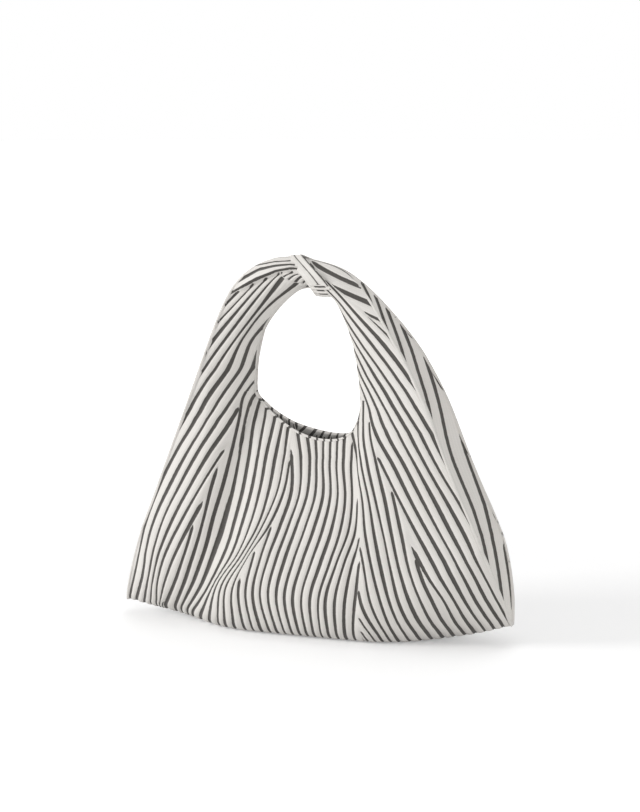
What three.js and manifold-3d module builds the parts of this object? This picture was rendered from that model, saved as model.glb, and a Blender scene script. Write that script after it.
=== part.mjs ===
// A knitted tote bag that stands by itself: two panels joined by side gussets that fold inwards,
// two open arms that rise from the shoulders and meet under a gathered wrap, a turned-in mouth
// hem, and a lining pouch with a slip pocket and a magnetic snap.
// Millimetres, X to the right, front towards -Y, Z up, origin under the middle of the bag.

import * as THREE from 'three';
import { mergeVertices } from 'three/addons/utils/BufferGeometryUtils.js';
import Module from 'manifold-3d';

const wasm = await Module();
wasm.setup();

// Body
const seamLength = 370; // bottom seam, corner to corner
const cornerLift = 20; // height of the bottom corners
const restLength = 170; // stretch of the bottom seam that lies on the floor
const restDepth = 58; // flat underside, front to back
const fullDepth = 114; // front to back where the body is fullest
const fullHeight = 45; // height of the fullest level in the middle
const sideFullHeight = 75; // and at the side seams
const sideDepth = 66; // front seam to back seam across a side
const gussetFold = 25; // how far the fold of a gusset lies inside the side seams
const gussetStart = 0.16; // level of the foot of a gusset
const wingUnderside = 1.5; // half depth of the underside out in the wings
const valleyDepth = 12; // soft valley down the left of each panel
const valleyWidth = 24; // from its line to where a third of the depth is left
const valleyTop = -0.47; // its column at the neck
const valleyFoot = -0.66; // and at the foot
const valleyEnd = 1.85; // level under the hem at which it has run out

// Shoulders and mouth
const shoulderHeight = 216;
const shoulderWidth = 224;
const shoulderDepth = 62;
const mouthLeft = 58; // left end of the mouth from the middle
const mouthRight = 46; // right end of the mouth from the middle
const mouthLow = 182; // lowest point of the hem
const mouthGap = 30; // front hem to back hem in the middle
const mouthEndGap = 16; // and at the two ends

// Handle
const totalHeight = 345;
const bendHeight = 40; // soft stretch of each arm above the shoulder
const knotDepth = 34; // handle at the wrap, front to back
const knotEdgeGap = 8; // opening along the underside of the handle at the wrap
const knotFold = 8; // gusset fold at the wrap
const wrapThickness = 4; // at its crown
const wrapRim = 0.8; // and at its two edges
const wrapRoomAcross = 2.2; // room round the arms inside the wrap, beyond the seat in depth
const wrapRoomDeep = 0.5;
const wrapLeftReach = 0.75; // share of the last stretch of the left arm that the wrap covers
const wrapRightReach = 0.42;
const wrapPleats = 9;
const pleatDepth = 0.8;

// Cloth and trim
const knit = 2.5;
const hemCloth = 1.2;
const hemHeight = 16;
const liningCloth = 1;
const tapeLength = 160;
const tapeWidth = 12;
const tapeThickness = 1;
const pocketCloth = 0.8;
const pocketLeft = -0.34; // sides of the pocket as shares of the shoulder's half width
const pocketRight = 0.28;
const pocketFoot = 0.04; // foot and mouth of the pocket as shares of the panel above its fullest level
const pocketMouth = 0.62;
const snapDrop = 32; // hem edge to the middle of the snap
const snapDiameter = 18;
const snapPlate = 2;
const studDiameter = 8;
const studHeight = 2.5;
const socketHeight = 3.5;
const washerDiameter = 13;
const washerThickness = 0.4;
const seat = 0.3; // gap between pieces that lie against each other

const { lerp, smoothstep, clamp } = THREE.MathUtils;
const front = -1;
const quarterTurn = Math.PI / 2;

// Edges of the arms from the shoulder to the wrap: x, and height as a share of the handle's rise.
// Each outer point is level with its inner partner along the arm.
const rise = totalHeight - wrapThickness - wrapRim - shoulderHeight;
const bend = bendHeight / rise;
const wrapTop = [-14, 1];
const wrapFoot = [16, 0.745];
const leftArm = {
  outer: [[-shoulderWidth / 2, 0], [-98, bend], [-86, 0.6], [-74, 0.85], [-49, 0.985], [-30, 1], wrapTop],
  inner: [[-mouthLeft, 0], [-57, bend], [-49, 0.51], [-36, 0.645], [-21, 0.765], [-5, 0.82], wrapFoot],
};
const rightArm = {
  outer: [[shoulderWidth / 2, 0], [90, bend], [69, 0.572], [50, 0.773], [26, 0.935], wrapTop],
  inner: [[mouthRight, 0], [38.5, bend], [32, 0.483], [26, 0.596], [22, 0.668], wrapFoot],
};
for (const arm of [leftArm, rightArm]) {
  for (const edge of ['outer', 'inner']) {
    arm[edge] = arm[edge].map(([x, share]) => [x, shoulderHeight + share * rise]);
  }
}

// Hem line from the left end of the mouth to the right end, as shares of its own width and drop
const hemLine = [[0, 1], [0.17, 0.56], [0.38, 0.2], [0.63, 0.015], [0.85, 0.06], [0.96, 0.41], [1, 1]].map(
  ([across, up]) => [
    lerp(-mouthLeft, mouthRight, across),
    lerp(mouthLow, shoulderHeight, up),
  ],
);

// Uniform Catmull-Rom curve through [x, z] points, at a place counted in points
function along(points, place) {
  const last = points.length - 1;
  const i = Math.min(Math.floor(place), last - 1);
  const t = place - i;
  const [b, c] = [points[i], points[i + 1]];
  const a = i > 0 ? points[i - 1] : b.map((v, n) => 2 * v - c[n]);
  const d = i + 2 <= last ? points[i + 2] : c.map((v, n) => 2 * v - b[n]);
  return b.map((v, n) => {
    const leave = (c[n] - a[n]) / 2;
    const arrive = (d[n] - v) / 2;
    const step = c[n] - v;
    return v + t * (leave + t * (3 * step - 2 * leave - arrive + t * (leave + arrive - 2 * step)));
  });
}

// Places from 0 to 1, closer together at both ends
function eased(steps) {
  return Array.from({ length: steps + 1 }, (_, n) => (1 - Math.cos((Math.PI * n) / steps)) / 2);
}

function even(steps) {
  return Array.from({ length: steps + 1 }, (_, n) => n / steps);
}

// Top edge of a panel at a column from -1 (left seam) to 1 (right seam): x, half depth, height
function topEdge(column) {
  const half = shoulderWidth / 2;
  const [mouthStart, mouthEnd] = [-mouthLeft / half, mouthRight / half];
  if (column > mouthStart && column < mouthEnd) {
    const share = (column - mouthStart) / (mouthEnd - mouthStart);
    const [x, z] = along(hemLine, share * (hemLine.length - 1));
    return [x, lerp(mouthEndGap, mouthGap, Math.sin(Math.PI * share)) / 2, z];
  }
  const inside = Math.abs(column < 0 ? mouthStart : mouthEnd);
  const across = (Math.abs(column) - inside) / (1 - inside);
  const round = Math.sqrt(1 - (1 - across) ** 2);
  return [column * half, lerp(mouthEndGap, shoulderDepth, round) / 2, shoulderHeight - seat / 2];
}

// Height of the bottom seam above the floor
function seamHeight(x) {
  const beyond = Math.max(0, Math.abs(x) - restLength / 2) / ((seamLength - restLength) / 2);
  return cornerLift * beyond ** 2;
}

// Half depth of the flat underside, which narrows to the seam in the two wings
function underside(column) {
  const restShare = restLength / seamLength;
  const narrow = smoothstep(Math.abs(column), restShare - 0.16, restShare + 0.3);
  return lerp(restDepth / 2, wingUnderside, narrow);
}

// How far the valley lies behind the panel's smooth face
function valley(column, level) {
  const middle = lerp(valleyFoot, valleyTop, smoothstep(level, 0.2, 1.6));
  const across = ((column - middle) * seamLength) / 2 / valleyWidth;
  const strength = Math.sin(Math.PI * Math.min(level / valleyEnd, 1)) ** 1.5;
  return valleyDepth * strength * Math.exp(-(across ** 2));
}

// Point of the front surface. Level runs from 0 at the end of the underside to 1 at the fullest
// height, and on to 2 at the top edge.
function panelPoint(column, level) {
  const bottom = [(column * seamLength) / 2, seamHeight((column * seamLength) / 2)];
  const [topX, topHalf, topZ] = topEdge(column);
  const side = Math.abs(column);
  const full = lerp(fullDepth / 2, sideDepth / 2, side ** 2.2);
  const fullShare = lerp(fullHeight, sideFullHeight, side ** 2) / (topZ - bottom[1]);
  const flat = underside(column);
  const squareness = lerp(1, 1.6, side ** 3); // 1 turns under in a quarter ellipse, 2 in a straight line
  let share, half;
  if (level < 1) {
    const turn = level * quarterTurn;
    share = fullShare * (1 - Math.cos(turn) ** squareness);
    half = lerp(flat, full, Math.sin(turn) ** squareness);
  } else {
    const up = level - 1;
    share = lerp(fullShare, 1, up);
    half = lerp(full, topHalf, up ** 1.9);
  }
  const y = front * (half - valley(column, level));
  return new THREE.Vector3(lerp(bottom[0], topX, share), y, lerp(bottom[1], topZ, share));
}

// Outward direction of a panel. Below the fullest level it turns evenly down to the underside.
function outward(column, level) {
  const step = 0.01;
  const at = Math.max(level, 1 + step);
  const across = panelPoint(column + step, at).sub(panelPoint(column - step, at));
  const up = panelPoint(column, at + step).sub(panelPoint(column, at - step));
  const out = across.cross(up).normalize();
  if (level >= 1) return out;
  const turn = level * quarterTurn;
  return new THREE.Vector3(out.x * Math.sin(turn), out.y * Math.sin(turn), -Math.cos(turn)).normalize();
}

// Level of a panel that lies a distance below its top edge
function levelBelowEdge(column, drop) {
  const fullest = panelPoint(column, 1);
  const edge = panelPoint(column, 2);
  return 2 - drop / edge.distanceTo(fullest);
}

// Outward normals of a grid of points whose columns run to the right and rows run up, seen from
// the side that faces out
function normals(grid) {
  const pick = (r, c) => grid[clamp(r, 0, grid.length - 1)][clamp(c, 0, grid[0].length - 1)];
  return grid.map((row, r) =>
    row.map((_, c) => {
      const across = pick(r, c + 1).clone().sub(pick(r, c - 1));
      const up = pick(r + 1, c).clone().sub(pick(r - 1, c));
      return across.cross(up).normalize();
    }),
  );
}

function offset(grid, distance) {
  const out = normals(grid);
  return grid.map((row, r) => row.map((p, c) => p.clone().addScaledVector(out[r][c], distance)));
}

// Closed solid between two grids with the same rows and columns. Rings close on themselves along
// their columns.
function between(outer, inner, ring = false) {
  const [rows, columns] = [outer.length, outer[0].length];
  const positions = [outer, inner].flat(2).flatMap((p) => p.toArray());
  const index = [];
  const at = (layer, r, c) => (layer * rows + r) * columns + (c % columns);
  const quad = (a, b, c, d) => index.push(a, b, c, a, c, d);
  const spans = ring ? columns : columns - 1;
  for (let c = 0; c < spans; c++) {
    for (let r = 0; r < rows - 1; r++) {
      quad(at(0, r, c), at(0, r, c + 1), at(0, r + 1, c + 1), at(0, r + 1, c));
      quad(at(1, r, c), at(1, r + 1, c), at(1, r + 1, c + 1), at(1, r, c + 1));
    }
    quad(at(0, 0, c + 1), at(0, 0, c), at(1, 0, c), at(1, 0, c + 1));
    quad(at(0, rows - 1, c), at(0, rows - 1, c + 1), at(1, rows - 1, c + 1), at(1, rows - 1, c));
  }
  if (!ring) {
    for (let r = 0; r < rows - 1; r++) {
      quad(at(0, r, 0), at(0, r + 1, 0), at(1, r + 1, 0), at(1, r, 0));
      quad(at(0, r + 1, columns - 1), at(0, r, columns - 1), at(1, r, columns - 1), at(1, r + 1, columns - 1));
    }
  }
  const geometry = new THREE.BufferGeometry();
  geometry.setAttribute('position', new THREE.Float32BufferAttribute(positions, 3));
  geometry.setIndex(index);
  return signedVolume(geometry) < 0 ? flipped(geometry) : geometry;
}

function signedVolume(geometry) {
  const p = geometry.attributes.position;
  const corner = (n) => new THREE.Vector3().fromBufferAttribute(p, geometry.index.getX(n));
  let volume = 0;
  for (let n = 0; n < geometry.index.count; n += 3) {
    volume += corner(n).dot(corner(n + 1).cross(corner(n + 2))) / 6;
  }
  return volume;
}

function flipped(geometry) {
  const turned = geometry.clone();
  const index = turned.index;
  for (let n = 0; n < index.count; n += 3) {
    const first = index.getX(n);
    index.setX(n, index.getX(n + 1));
    index.setX(n + 1, first);
  }
  return turned;
}

// The same piece on the back of the bag
function mirrored(geometry) {
  return flipped(geometry.clone().scale(1, -1, 1));
}

function solid(geometry) {
  const bare = geometry.clone();
  bare.deleteAttribute('normal');
  bare.deleteAttribute('uv');
  const merged = mergeVertices(bare, 1e-3);
  return new wasm.Manifold(
    new wasm.Mesh({
      numProp: 3,
      vertProperties: new Float32Array(merged.attributes.position.array),
      triVerts: new Uint32Array(merged.index.array),
    }),
  );
}

// A piece with others cut away from it. Only its largest body is kept.
function cut(piece, ...tools) {
  const rest = tools.reduce((left, tool) => left.subtract(solid(tool)), solid(piece));
  const bodies = rest.decompose().sort((a, b) => b.volume() - a.volume());
  const mesh = bodies[0].getMesh();
  const geometry = new THREE.BufferGeometry();
  geometry.setAttribute('position', new THREE.BufferAttribute(mesh.vertProperties, 3));
  geometry.setIndex(new THREE.BufferAttribute(mesh.triVerts, 1));
  return geometry;
}

// Everything behind the plane through the bottom seam
function backHalf() {
  const reach = 2 * Math.max(seamLength, totalHeight, fullDepth);
  return new THREE.BoxGeometry(reach, reach, reach).translate(0, reach / 2 - seat / 2, 0);
}

// Columns of a panel: the left wing, the mouth and the right wing
const mouthStart = (-2 * mouthLeft) / shoulderWidth;
const mouthEnd = (2 * mouthRight) / shoulderWidth;
const panelColumns = [
  ...eased(6).map((share) => lerp(-1, mouthStart, share)),
  ...even(14).slice(1).map((share) => lerp(mouthStart, mouthEnd, share)),
  ...eased(7).slice(1).map((share) => lerp(mouthEnd, 1, share)),
];
const turnLevels = even(5);
const upLevels = even(7).slice(1).map((share) => 1 + share);

function panelGrid() {
  const seamRow = panelColumns.map((column) => panelPoint(column, 0).setY(0));
  const rows = [...turnLevels, ...upLevels].map((level) =>
    panelColumns.map((column) => panelPoint(column, level)),
  );
  return [seamRow, ...rows];
}

function frontPanel() {
  const grid = panelGrid();
  return cut(between(grid, offset(grid, -knit)), backHalf());
}

// The space that a front panel needs, a little larger than the panel on every side
function panelClearance() {
  const grid = panelGrid().map((row) => {
    const last = row.length - 1;
    const push = (edge, next) => edge.clone().sub(next).setLength(seat).add(edge);
    return [push(row[0], row[1]), ...row.slice(1, last), push(row[last], row[last - 1])];
  });
  return between(offset(grid, seat), offset(grid, -knit - seat));
}

// Side gusset between the front and back seams, folded inwards along its middle
function gusset(side) {
  const shares = [0, 0.5, 1];
  const levels = [...even(5).map((s) => lerp(gussetStart, 1, s)), ...upLevels];
  const grid = levels.map((level) => {
    const seam = panelPoint(side, level);
    const fold = gussetFold * Math.min(1, (2 * -seam.y) / sideDepth);
    const half = shares.map((q) => [seam.x - side * fold * q, seam.y * (1 - q)]);
    const back = half.slice(0, -1).reverse().map(([x, y]) => [x, -y]);
    const row = [...half, ...back].map(([x, y]) => new THREE.Vector3(x, y, seam.z));
    return side > 0 ? row : row.reverse();
  });
  const clearance = panelClearance();
  return cut(between(grid, offset(grid, -knit)), clearance, mirrored(clearance));
}

// Section of an arm at a place along it, in its own plane: points [across, depth] from the inner
// edge at the front, over the front seam, the gusset fold and the back seam, to the inner edge
// at the back
function armSection(arm, place) {
  const share = place / (arm.outer.length - 1);
  const outer = along(arm.outer, place);
  const inner = along(arm.inner, place);
  const width = Math.hypot(outer[0] - inner[0], outer[1] - inner[1]);
  const edge = lerp(mouthEndGap, knotEdgeGap, share) / 2;
  const seam = lerp(shoulderDepth, knotDepth, share) / 2;
  const rounding = smoothstep(share, 0.2, 0.85);
  const depth = (across) => {
    const channel = lerp(edge, seam, Math.sqrt(1 - (1 - across) ** 2));
    const tube = lerp(edge, knotDepth / 2, Math.sin(Math.PI * across));
    return lerp(channel, tube, rounding);
  };
  const fold = lerp(gussetFold, knotFold, share);
  const side = eased(9).map((across) => [across * width, -depth(across)]);
  const lip = side[side.length - 1];
  const gussetPoints = [[lip[0] - fold / 2, lip[1] / 2], [lip[0] - fold, 0]];
  const half = [...side, ...gussetPoints];
  const back = half.slice(0, -1).reverse().map(([across, y]) => [across, -y]);
  return { outer, inner, width, halfDepth: depth(0.5), outline: [...half, ...back] };
}

// An outline moved to its left, with mitred corners
function leftOf(outline, distance) {
  const side = (a, b) => {
    const length = Math.hypot(b[0] - a[0], b[1] - a[1]);
    return [-(b[1] - a[1]) / length, (b[0] - a[0]) / length];
  };
  return outline.map((point, n) => {
    const before = side(outline[Math.max(n - 1, 0)], outline[Math.max(n, 1)]);
    const after = side(outline[Math.min(n, outline.length - 2)], outline[Math.min(n + 1, outline.length - 1)]);
    const stretch = distance / Math.max(1 + before[0] * after[0] + before[1] * after[1], 0.35);
    return point.map((value, axis) => value + stretch * (before[axis] + after[axis]));
  });
}

// Places a section's points in space
function inSpace(section, points) {
  const { inner, outer, width } = section;
  const step = [(outer[0] - inner[0]) / width, (outer[1] - inner[1]) / width];
  return points.map(([across, y]) => {
    return new THREE.Vector3(inner[0] + step[0] * across, y, inner[1] + step[1] * across);
  });
}

function armShell(arm, places) {
  const sections = places.map((place) => armSection(arm, place));
  return between(
    sections.map((section) => inSpace(section, section.outline)),
    sections.map((section) => inSpace(section, leftOf(section.outline, knit))),
  );
}

// Share of the stretch before a place that half a seat takes
function seatShare(arm, place) {
  const steps = ['outer', 'inner'].map((edge) => {
    const [a, b] = [along(arm[edge], place - 1), along(arm[edge], place)];
    return Math.hypot(b[0] - a[0], b[1] - a[1]);
  });
  return seat / 2 / Math.min(...steps);
}

function armBend(arm) {
  const gap = seatShare(arm, 1);
  return armShell(arm, even(3).map((share) => lerp(gap, 1 - gap, share)));
}

function armTop(arm) {
  const last = arm.outer.length - 1;
  const start = 1 + seatShare(arm, 2);
  return armShell(arm, even(14).map((share) => lerp(start, last - seatShare(arm, last), share)));
}

// Gathered wrap that goes round both arms where they meet. Its rings follow the sections of the
// arms, so it crosses the handle at a slant.
function knotWrap() {
  const steps = 8;
  const ringSteps = 45;
  const rings = (grow) =>
    even(steps).map((share) => {
      const reach = lerp(-wrapLeftReach, wrapRightReach, share);
      const arm = reach < 0 ? leftArm : rightArm;
      const section = armSection(arm, arm.outer.length - 1 - Math.abs(reach));
      const crown = Math.sqrt(1 - (2 * share - 1) ** 2);
      const points = even(ringSteps).slice(1).map((turn) => {
        const angle = 2 * Math.PI * turn;
        const pleat = pleatDepth * (1 + Math.cos(wrapPleats * angle)) / 2;
        const wall = grow ? wrapRim + crown * (wrapThickness - pleat) : 0;
        const a = section.width / 2 + wrapRoomAcross + wall;
        const b = section.halfDepth + seat + wrapRoomDeep + wall;
        return [section.width / 2 + a * Math.cos(angle), b * Math.sin(angle)];
      });
      return inSpace(section, points);
    });
  return between(rings(true), rings(false), true);
}

// Turned-in hem along the inside of the mouth
function mouthHem() {
  const columns = even(16).map((share) => lerp(mouthStart, mouthEnd, lerp(0.06, 0.94, share)));
  const drops = [hemHeight, hemHeight / 2, seat];
  const grid = drops.map((drop) => columns.map((c) => panelPoint(c, levelBelowEdge(c, drop))));
  return between(offset(grid, -knit - seat), offset(grid, -knit - seat - hemCloth));
}

// Lining pouch half, which hangs inside the gusset folds and closes on its own side seams
const liningDepth = knit + seat + tapeThickness + seat;
const liningReach = 1 - (2 * (gussetFold + knit + 2 * seat)) / shoulderWidth;

function liningGrid() {
  const flatShare = 0.88; // the rest turns round to the side seams
  const turned = [1, 0.985, 0.94, flatShare];
  const flat = panelColumns.map((column) => column / liningReach).filter((place) => Math.abs(place) < flatShare - 0.02);
  const columns = [...turned.map((place) => -place), ...flat, ...turned.reverse()];
  const topDrop = hemHeight + 5 * seat;
  const levels = [...turnLevels, ...upLevels];
  const row = (level, onSeam) =>
    columns.map((place) => {
      const column = place * liningReach;
      const top = levelBelowEdge(column, topDrop);
      const at = level <= 1 ? level : lerp(1, top, level - 1);
      const corner = Math.max(0, (Math.abs(place) - flatShare) / (1 - flatShare));
      const point = panelPoint(column, at).addScaledVector(outward(column, at), -liningDepth);
      const wing = smoothstep(Math.abs(column), 0.5, liningReach);
      point.y = onSeam ? 0 : point.y * Math.sqrt(1 - corner ** 2);
      point.z += 2 * liningDepth * wing * Math.cos(Math.min(level, 1) * quarterTurn);
      return point;
    });
  return [row(0, true), ...levels.map((level) => row(level, false))];
}

function frontLining() {
  const grid = liningGrid();
  return cut(between(grid, offset(grid, -liningCloth)), backHalf());
}

// Slip pocket on the back lining
function slipPocket() {
  const rows = even(5).map((share) => 1 + lerp(pocketFoot, pocketMouth, share));
  const columns = even(8).map((share) => lerp(pocketLeft, pocketRight, share));
  const grid = rows.map((level) => columns.map((column) => panelPoint(column, level)));
  const inside = liningDepth + liningCloth + 2 * seat;
  return mirrored(between(offset(grid, -inside), offset(grid, -inside - pocketCloth)));
}

// Round piece on the inside of the front, its axis square to the cloth. Profile points are
// [radius, height], with height counted inwards from the given depth under the knit's surface.
function roundPiece(profile, depth) {
  const column = 0;
  const level = levelBelowEdge(column, snapDrop);
  const out = outward(column, level);
  const geometry = new THREE.LatheGeometry(profile.map(([r, h]) => new THREE.Vector2(r, h)), 24);
  const turned = geometry.applyQuaternion(
    new THREE.Quaternion().setFromUnitVectors(new THREE.Vector3(0, 1, 0), out.clone().negate()),
  );
  const place = panelPoint(column, level).addScaledVector(out, -depth);
  turned.translate(place.x, place.y, place.z);
  return signedVolume(turned) < 0 ? flipped(turned) : turned;
}

const snapDepth = liningDepth + liningCloth + 2 * seat;

function snapStud() {
  const [plate, boss] = [snapDiameter / 2, studDiameter / 2];
  const top = snapPlate + studHeight;
  return roundPiece(
    [[0, 0], [plate, 0], [plate, snapPlate - 0.5], [plate - 0.5, snapPlate], [boss, snapPlate],
      [boss, top - 0.6], [boss - 0.6, top], [0, top]],
    snapDepth,
  );
}

function snapSocket() {
  const [plate, bore] = [snapDiameter / 2, studDiameter / 2 + seat];
  return roundPiece(
    [[0, 0], [plate, 0], [plate, socketHeight - 0.8], [plate - 0.8, socketHeight], [bore, socketHeight],
      [bore, socketHeight - studHeight], [0, socketHeight - studHeight]],
    snapDepth,
  );
}

function snapWasher() {
  const radius = washerDiameter / 2;
  return roundPiece([[0, 0], [radius, 0], [radius, washerThickness], [0, washerThickness]], knit + 1.6 * seat);
}

// Tape over the bottom seam, inside the bag
function seamTape() {
  const tape = new THREE.BoxGeometry(tapeLength, tapeWidth, tapeThickness);
  return tape.translate(0, 0, knit + seat + tapeThickness / 2);
}

const knitLook = new THREE.MeshStandardMaterial({ color: 0xd8d5d0, roughness: 0.9, metalness: 0 });
const stripeLook = new THREE.MeshStandardMaterial({ color: 0x8f8b87, roughness: 0.9, metalness: 0 });
const liningLook = new THREE.MeshStandardMaterial({ color: 0x77736f, roughness: 0.8, metalness: 0 });
const tapeLook = new THREE.MeshStandardMaterial({ color: 0x5c5956, roughness: 0.85, metalness: 0 });
const metalLook = new THREE.MeshStandardMaterial({ color: 0xb9b7b2, roughness: 0.3, metalness: 1 });

const bag = new THREE.Group();
const handle = new THREE.Group();

function add(group, name, geometry, look) {
  const mesh = new THREE.Mesh(geometry, look);
  mesh.name = name;
  group.add(mesh);
}

const panel = frontPanel();
const lining = frontLining();
const hem = mouthHem();
add(bag, 'front_panel', panel, knitLook);
add(bag, 'back_panel', mirrored(panel), knitLook);
add(bag, 'left_gusset', gusset(-1), stripeLook);
add(bag, 'right_gusset', gusset(1), stripeLook);
add(bag, 'left_arm_fold', armBend(leftArm), stripeLook);
add(bag, 'right_arm_fold', armBend(rightArm), stripeLook);
add(bag, 'front_hem', hem, stripeLook);
add(bag, 'back_hem', mirrored(hem), stripeLook);
add(bag, 'front_lining', lining, liningLook);
add(bag, 'back_lining', mirrored(lining), liningLook);
add(bag, 'slip_pocket', slipPocket(), liningLook);
add(bag, 'bottom_seam_tape', seamTape(), tapeLook);
add(bag, 'snap_stud', snapStud(), metalLook);
add(bag, 'stud_washer', snapWasher(), metalLook);
add(bag, 'snap_socket', mirrored(snapSocket()), metalLook);
add(bag, 'socket_washer', mirrored(snapWasher()), metalLook);
add(handle, 'left_arm', armTop(leftArm), knitLook);
add(handle, 'right_arm', armTop(rightArm), knitLook);
add(handle, 'knot_wrap', knotWrap(), knitLook);
bag.add(handle);

export default bag;
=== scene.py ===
import math

import bpy
import numpy as np
from mathutils import Matrix, Vector


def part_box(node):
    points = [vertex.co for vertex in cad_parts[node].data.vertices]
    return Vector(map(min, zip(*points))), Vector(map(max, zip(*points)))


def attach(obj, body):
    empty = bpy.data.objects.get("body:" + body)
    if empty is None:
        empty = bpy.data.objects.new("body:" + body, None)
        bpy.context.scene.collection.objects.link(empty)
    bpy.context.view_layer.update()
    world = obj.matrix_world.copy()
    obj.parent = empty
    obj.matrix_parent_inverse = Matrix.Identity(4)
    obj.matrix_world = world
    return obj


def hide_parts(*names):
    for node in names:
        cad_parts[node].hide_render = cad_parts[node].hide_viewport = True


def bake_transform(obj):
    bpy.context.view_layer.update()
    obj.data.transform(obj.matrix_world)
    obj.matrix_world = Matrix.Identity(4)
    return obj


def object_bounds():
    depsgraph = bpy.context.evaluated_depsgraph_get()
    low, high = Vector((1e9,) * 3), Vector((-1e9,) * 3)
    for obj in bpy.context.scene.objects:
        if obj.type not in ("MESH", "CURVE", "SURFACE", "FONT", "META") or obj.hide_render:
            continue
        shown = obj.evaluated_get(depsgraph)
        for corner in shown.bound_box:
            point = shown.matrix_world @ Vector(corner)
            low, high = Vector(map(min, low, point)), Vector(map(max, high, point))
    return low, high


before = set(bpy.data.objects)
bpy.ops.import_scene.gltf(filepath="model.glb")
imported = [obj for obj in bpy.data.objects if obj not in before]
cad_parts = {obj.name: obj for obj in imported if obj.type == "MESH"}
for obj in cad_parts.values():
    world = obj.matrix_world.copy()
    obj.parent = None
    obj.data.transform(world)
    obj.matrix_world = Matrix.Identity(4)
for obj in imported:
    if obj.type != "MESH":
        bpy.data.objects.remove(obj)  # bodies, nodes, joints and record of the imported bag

bl_info = {
    "name": "Ribbed Knit Tote Bag",
    "version": (1, 0, 0),
    "blender": (4, 5, 0),
    "location": "3D View > Sidebar > Tote Bag",
    "description": "Dresses a soft rib-knit tote bag: shells, gussets, hems, wrap, lining and snap",
    "category": "Add Mesh",
}

MM = 0.001
CAD_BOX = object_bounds()
FRONT, BACK = -1, 1


def span(node, axis):
    """Length of a node of the frame along an axis."""
    low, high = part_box(node)
    return high[axis] - low[axis]


def length(name, description, default):
    return bpy.props.FloatProperty(name=name, description=description, default=default, unit="LENGTH")


def colour(name, description, default):
    return bpy.props.FloatVectorProperty(
        name=name, description=description, default=default, subtype="COLOR", min=0, max=1
    )


class BagSizes(bpy.types.PropertyGroup):
    seam_length: length("Seam length", "Bottom seam, corner to corner", span("front_panel", 0))
    corner_lift: length("Corner lift", "Height of the bottom corners", 20 * MM)
    rest_length: length("Rest length", "Stretch of the seam that lies on the floor", 170 * MM)
    rest_depth: length("Rest depth", "Flat underside, front to back", 58 * MM)
    full_depth: length("Full depth", "Front to back where the body is fullest", 114 * MM)
    full_height: length("Full height", "Height of the fullest level in the middle", 45 * MM)
    side_full_height: length("Side full height", "Fullest level at the side seams", 75 * MM)
    side_depth: length("Side depth", "Front seam to back seam across a side", 66 * MM)
    gusset_fold: length("Gusset fold", "Depth of a gusset's fold inside the side seams", 25 * MM)
    valley_depth: length("Valley depth", "Soft valley down the left of each panel", 12 * MM)
    valley_width: length("Valley width", "From its line to where a third of it is left", 24 * MM)
    shoulder_height: length("Shoulder height", "Where the arms leave the body", 216 * MM)
    shoulder_width: length("Shoulder width", "Lip to lip at the shoulders", 224 * MM)
    shoulder_depth: length("Shoulder depth", "Front to back at the shoulders", 62 * MM)
    mouth_left: length("Mouth left", "Left end of the mouth from the middle", 58 * MM)
    mouth_right: length("Mouth right", "Right end of the mouth from the middle", 46 * MM)
    mouth_low: length("Mouth low", "Lowest point of the hem", 182 * MM)
    mouth_gap: length("Mouth gap", "Front hem to back hem in the middle", 30 * MM)
    mouth_end_gap: length("Mouth end gap", "Front hem to back hem at the ends", 16 * MM)
    total_height: length("Total height", "Floor to the top of the wrap", CAD_BOX[1][2])
    bend_height: length("Bend height", "Soft foot of each arm", 40 * MM)
    knot_depth: length("Knot depth", "Handle at the wrap, front to back", 34 * MM)
    wrap_thickness: length("Wrap thickness", "Cloth of the wrap at its crown", 4.8 * MM)
    knit: length("Knit", "Thickness of the knit", 2.2 * MM)
    rib_height: length("Rib height", "Height of a rib over its groove", 1.0 * MM)
    hem_roll: length("Hem roll", "Radius of the turned edge", 1.2 * MM)
    hem_height: length("Hem height", "Turned-in cloth below the edge", 14 * MM)
    corner_sink: length("Corner sink", "How far the left bottom corner sinks", 7 * MM)
    side_bulge: length("Side bulge", "How far the right side bulges near the floor", 6 * MM)
    mouth_droop: length("Mouth droop", "How far the front hem droops in the middle", 4 * MM)
    lining_cloth: length("Lining cloth", "Thickness of the lining", 0.8 * MM)
    pocket_foot: length("Pocket foot", "Foot of the slip pocket over the floor", 50 * MM)
    pocket_mouth: length("Pocket mouth", "Mouth of the slip pocket over the floor", 140 * MM)
    tape_length: length("Tape length", "Tape over the bottom seam", 160 * MM)
    tape_width: length("Tape width", "Tape over the bottom seam, front to back", 12 * MM)
    snap_diameter: length("Snap diameter", "Plate of each half of the snap", 18 * MM)
    snap_plate: length("Snap plate", "Thickness of each plate", 2 * MM)
    stud_diameter: length("Stud diameter", "Stud of the snap", 8 * MM)
    stud_height: length("Stud height", "Stud of the snap over its plate", 2.5 * MM)
    washer_diameter: length("Washer diameter", "Washers behind the lining", 13 * MM)
    washer_thickness: length("Washer thickness", "Washers behind the lining", 0.4 * MM)


class BagColours(bpy.types.PropertyGroup):
    rib: colour("Rib", "Off-white ribs", (0.76, 0.735, 0.70))
    groove: colour("Groove", "Charcoal stripes in the grooves", (0.064, 0.059, 0.053))
    lining: colour("Lining", "Plain lining cloth", (0.19, 0.18, 0.17))
    tape: colour("Tape", "Woven tape", (0.10, 0.095, 0.09))
    metal: colour("Metal", "Satin nickel", (0.62, 0.61, 0.59))
    floor: colour("Floor", "Floor and backdrop", (0.80, 0.80, 0.80))


def sizes():
    return bpy.context.scene.bag_sizes


def colours():
    return bpy.context.scene.bag_colours


# Curves and blends

def mix(a, b, t):
    """From a at t = 0 to b at t = 1."""
    return a + (b - a) * t


def smooth(x, low, high):
    """Soft step from 0 where x is at low to 1 where it is at high."""
    t = np.clip((x - low) / (high - low), 0, 1)
    return t * t * (3 - 2 * t)


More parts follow.
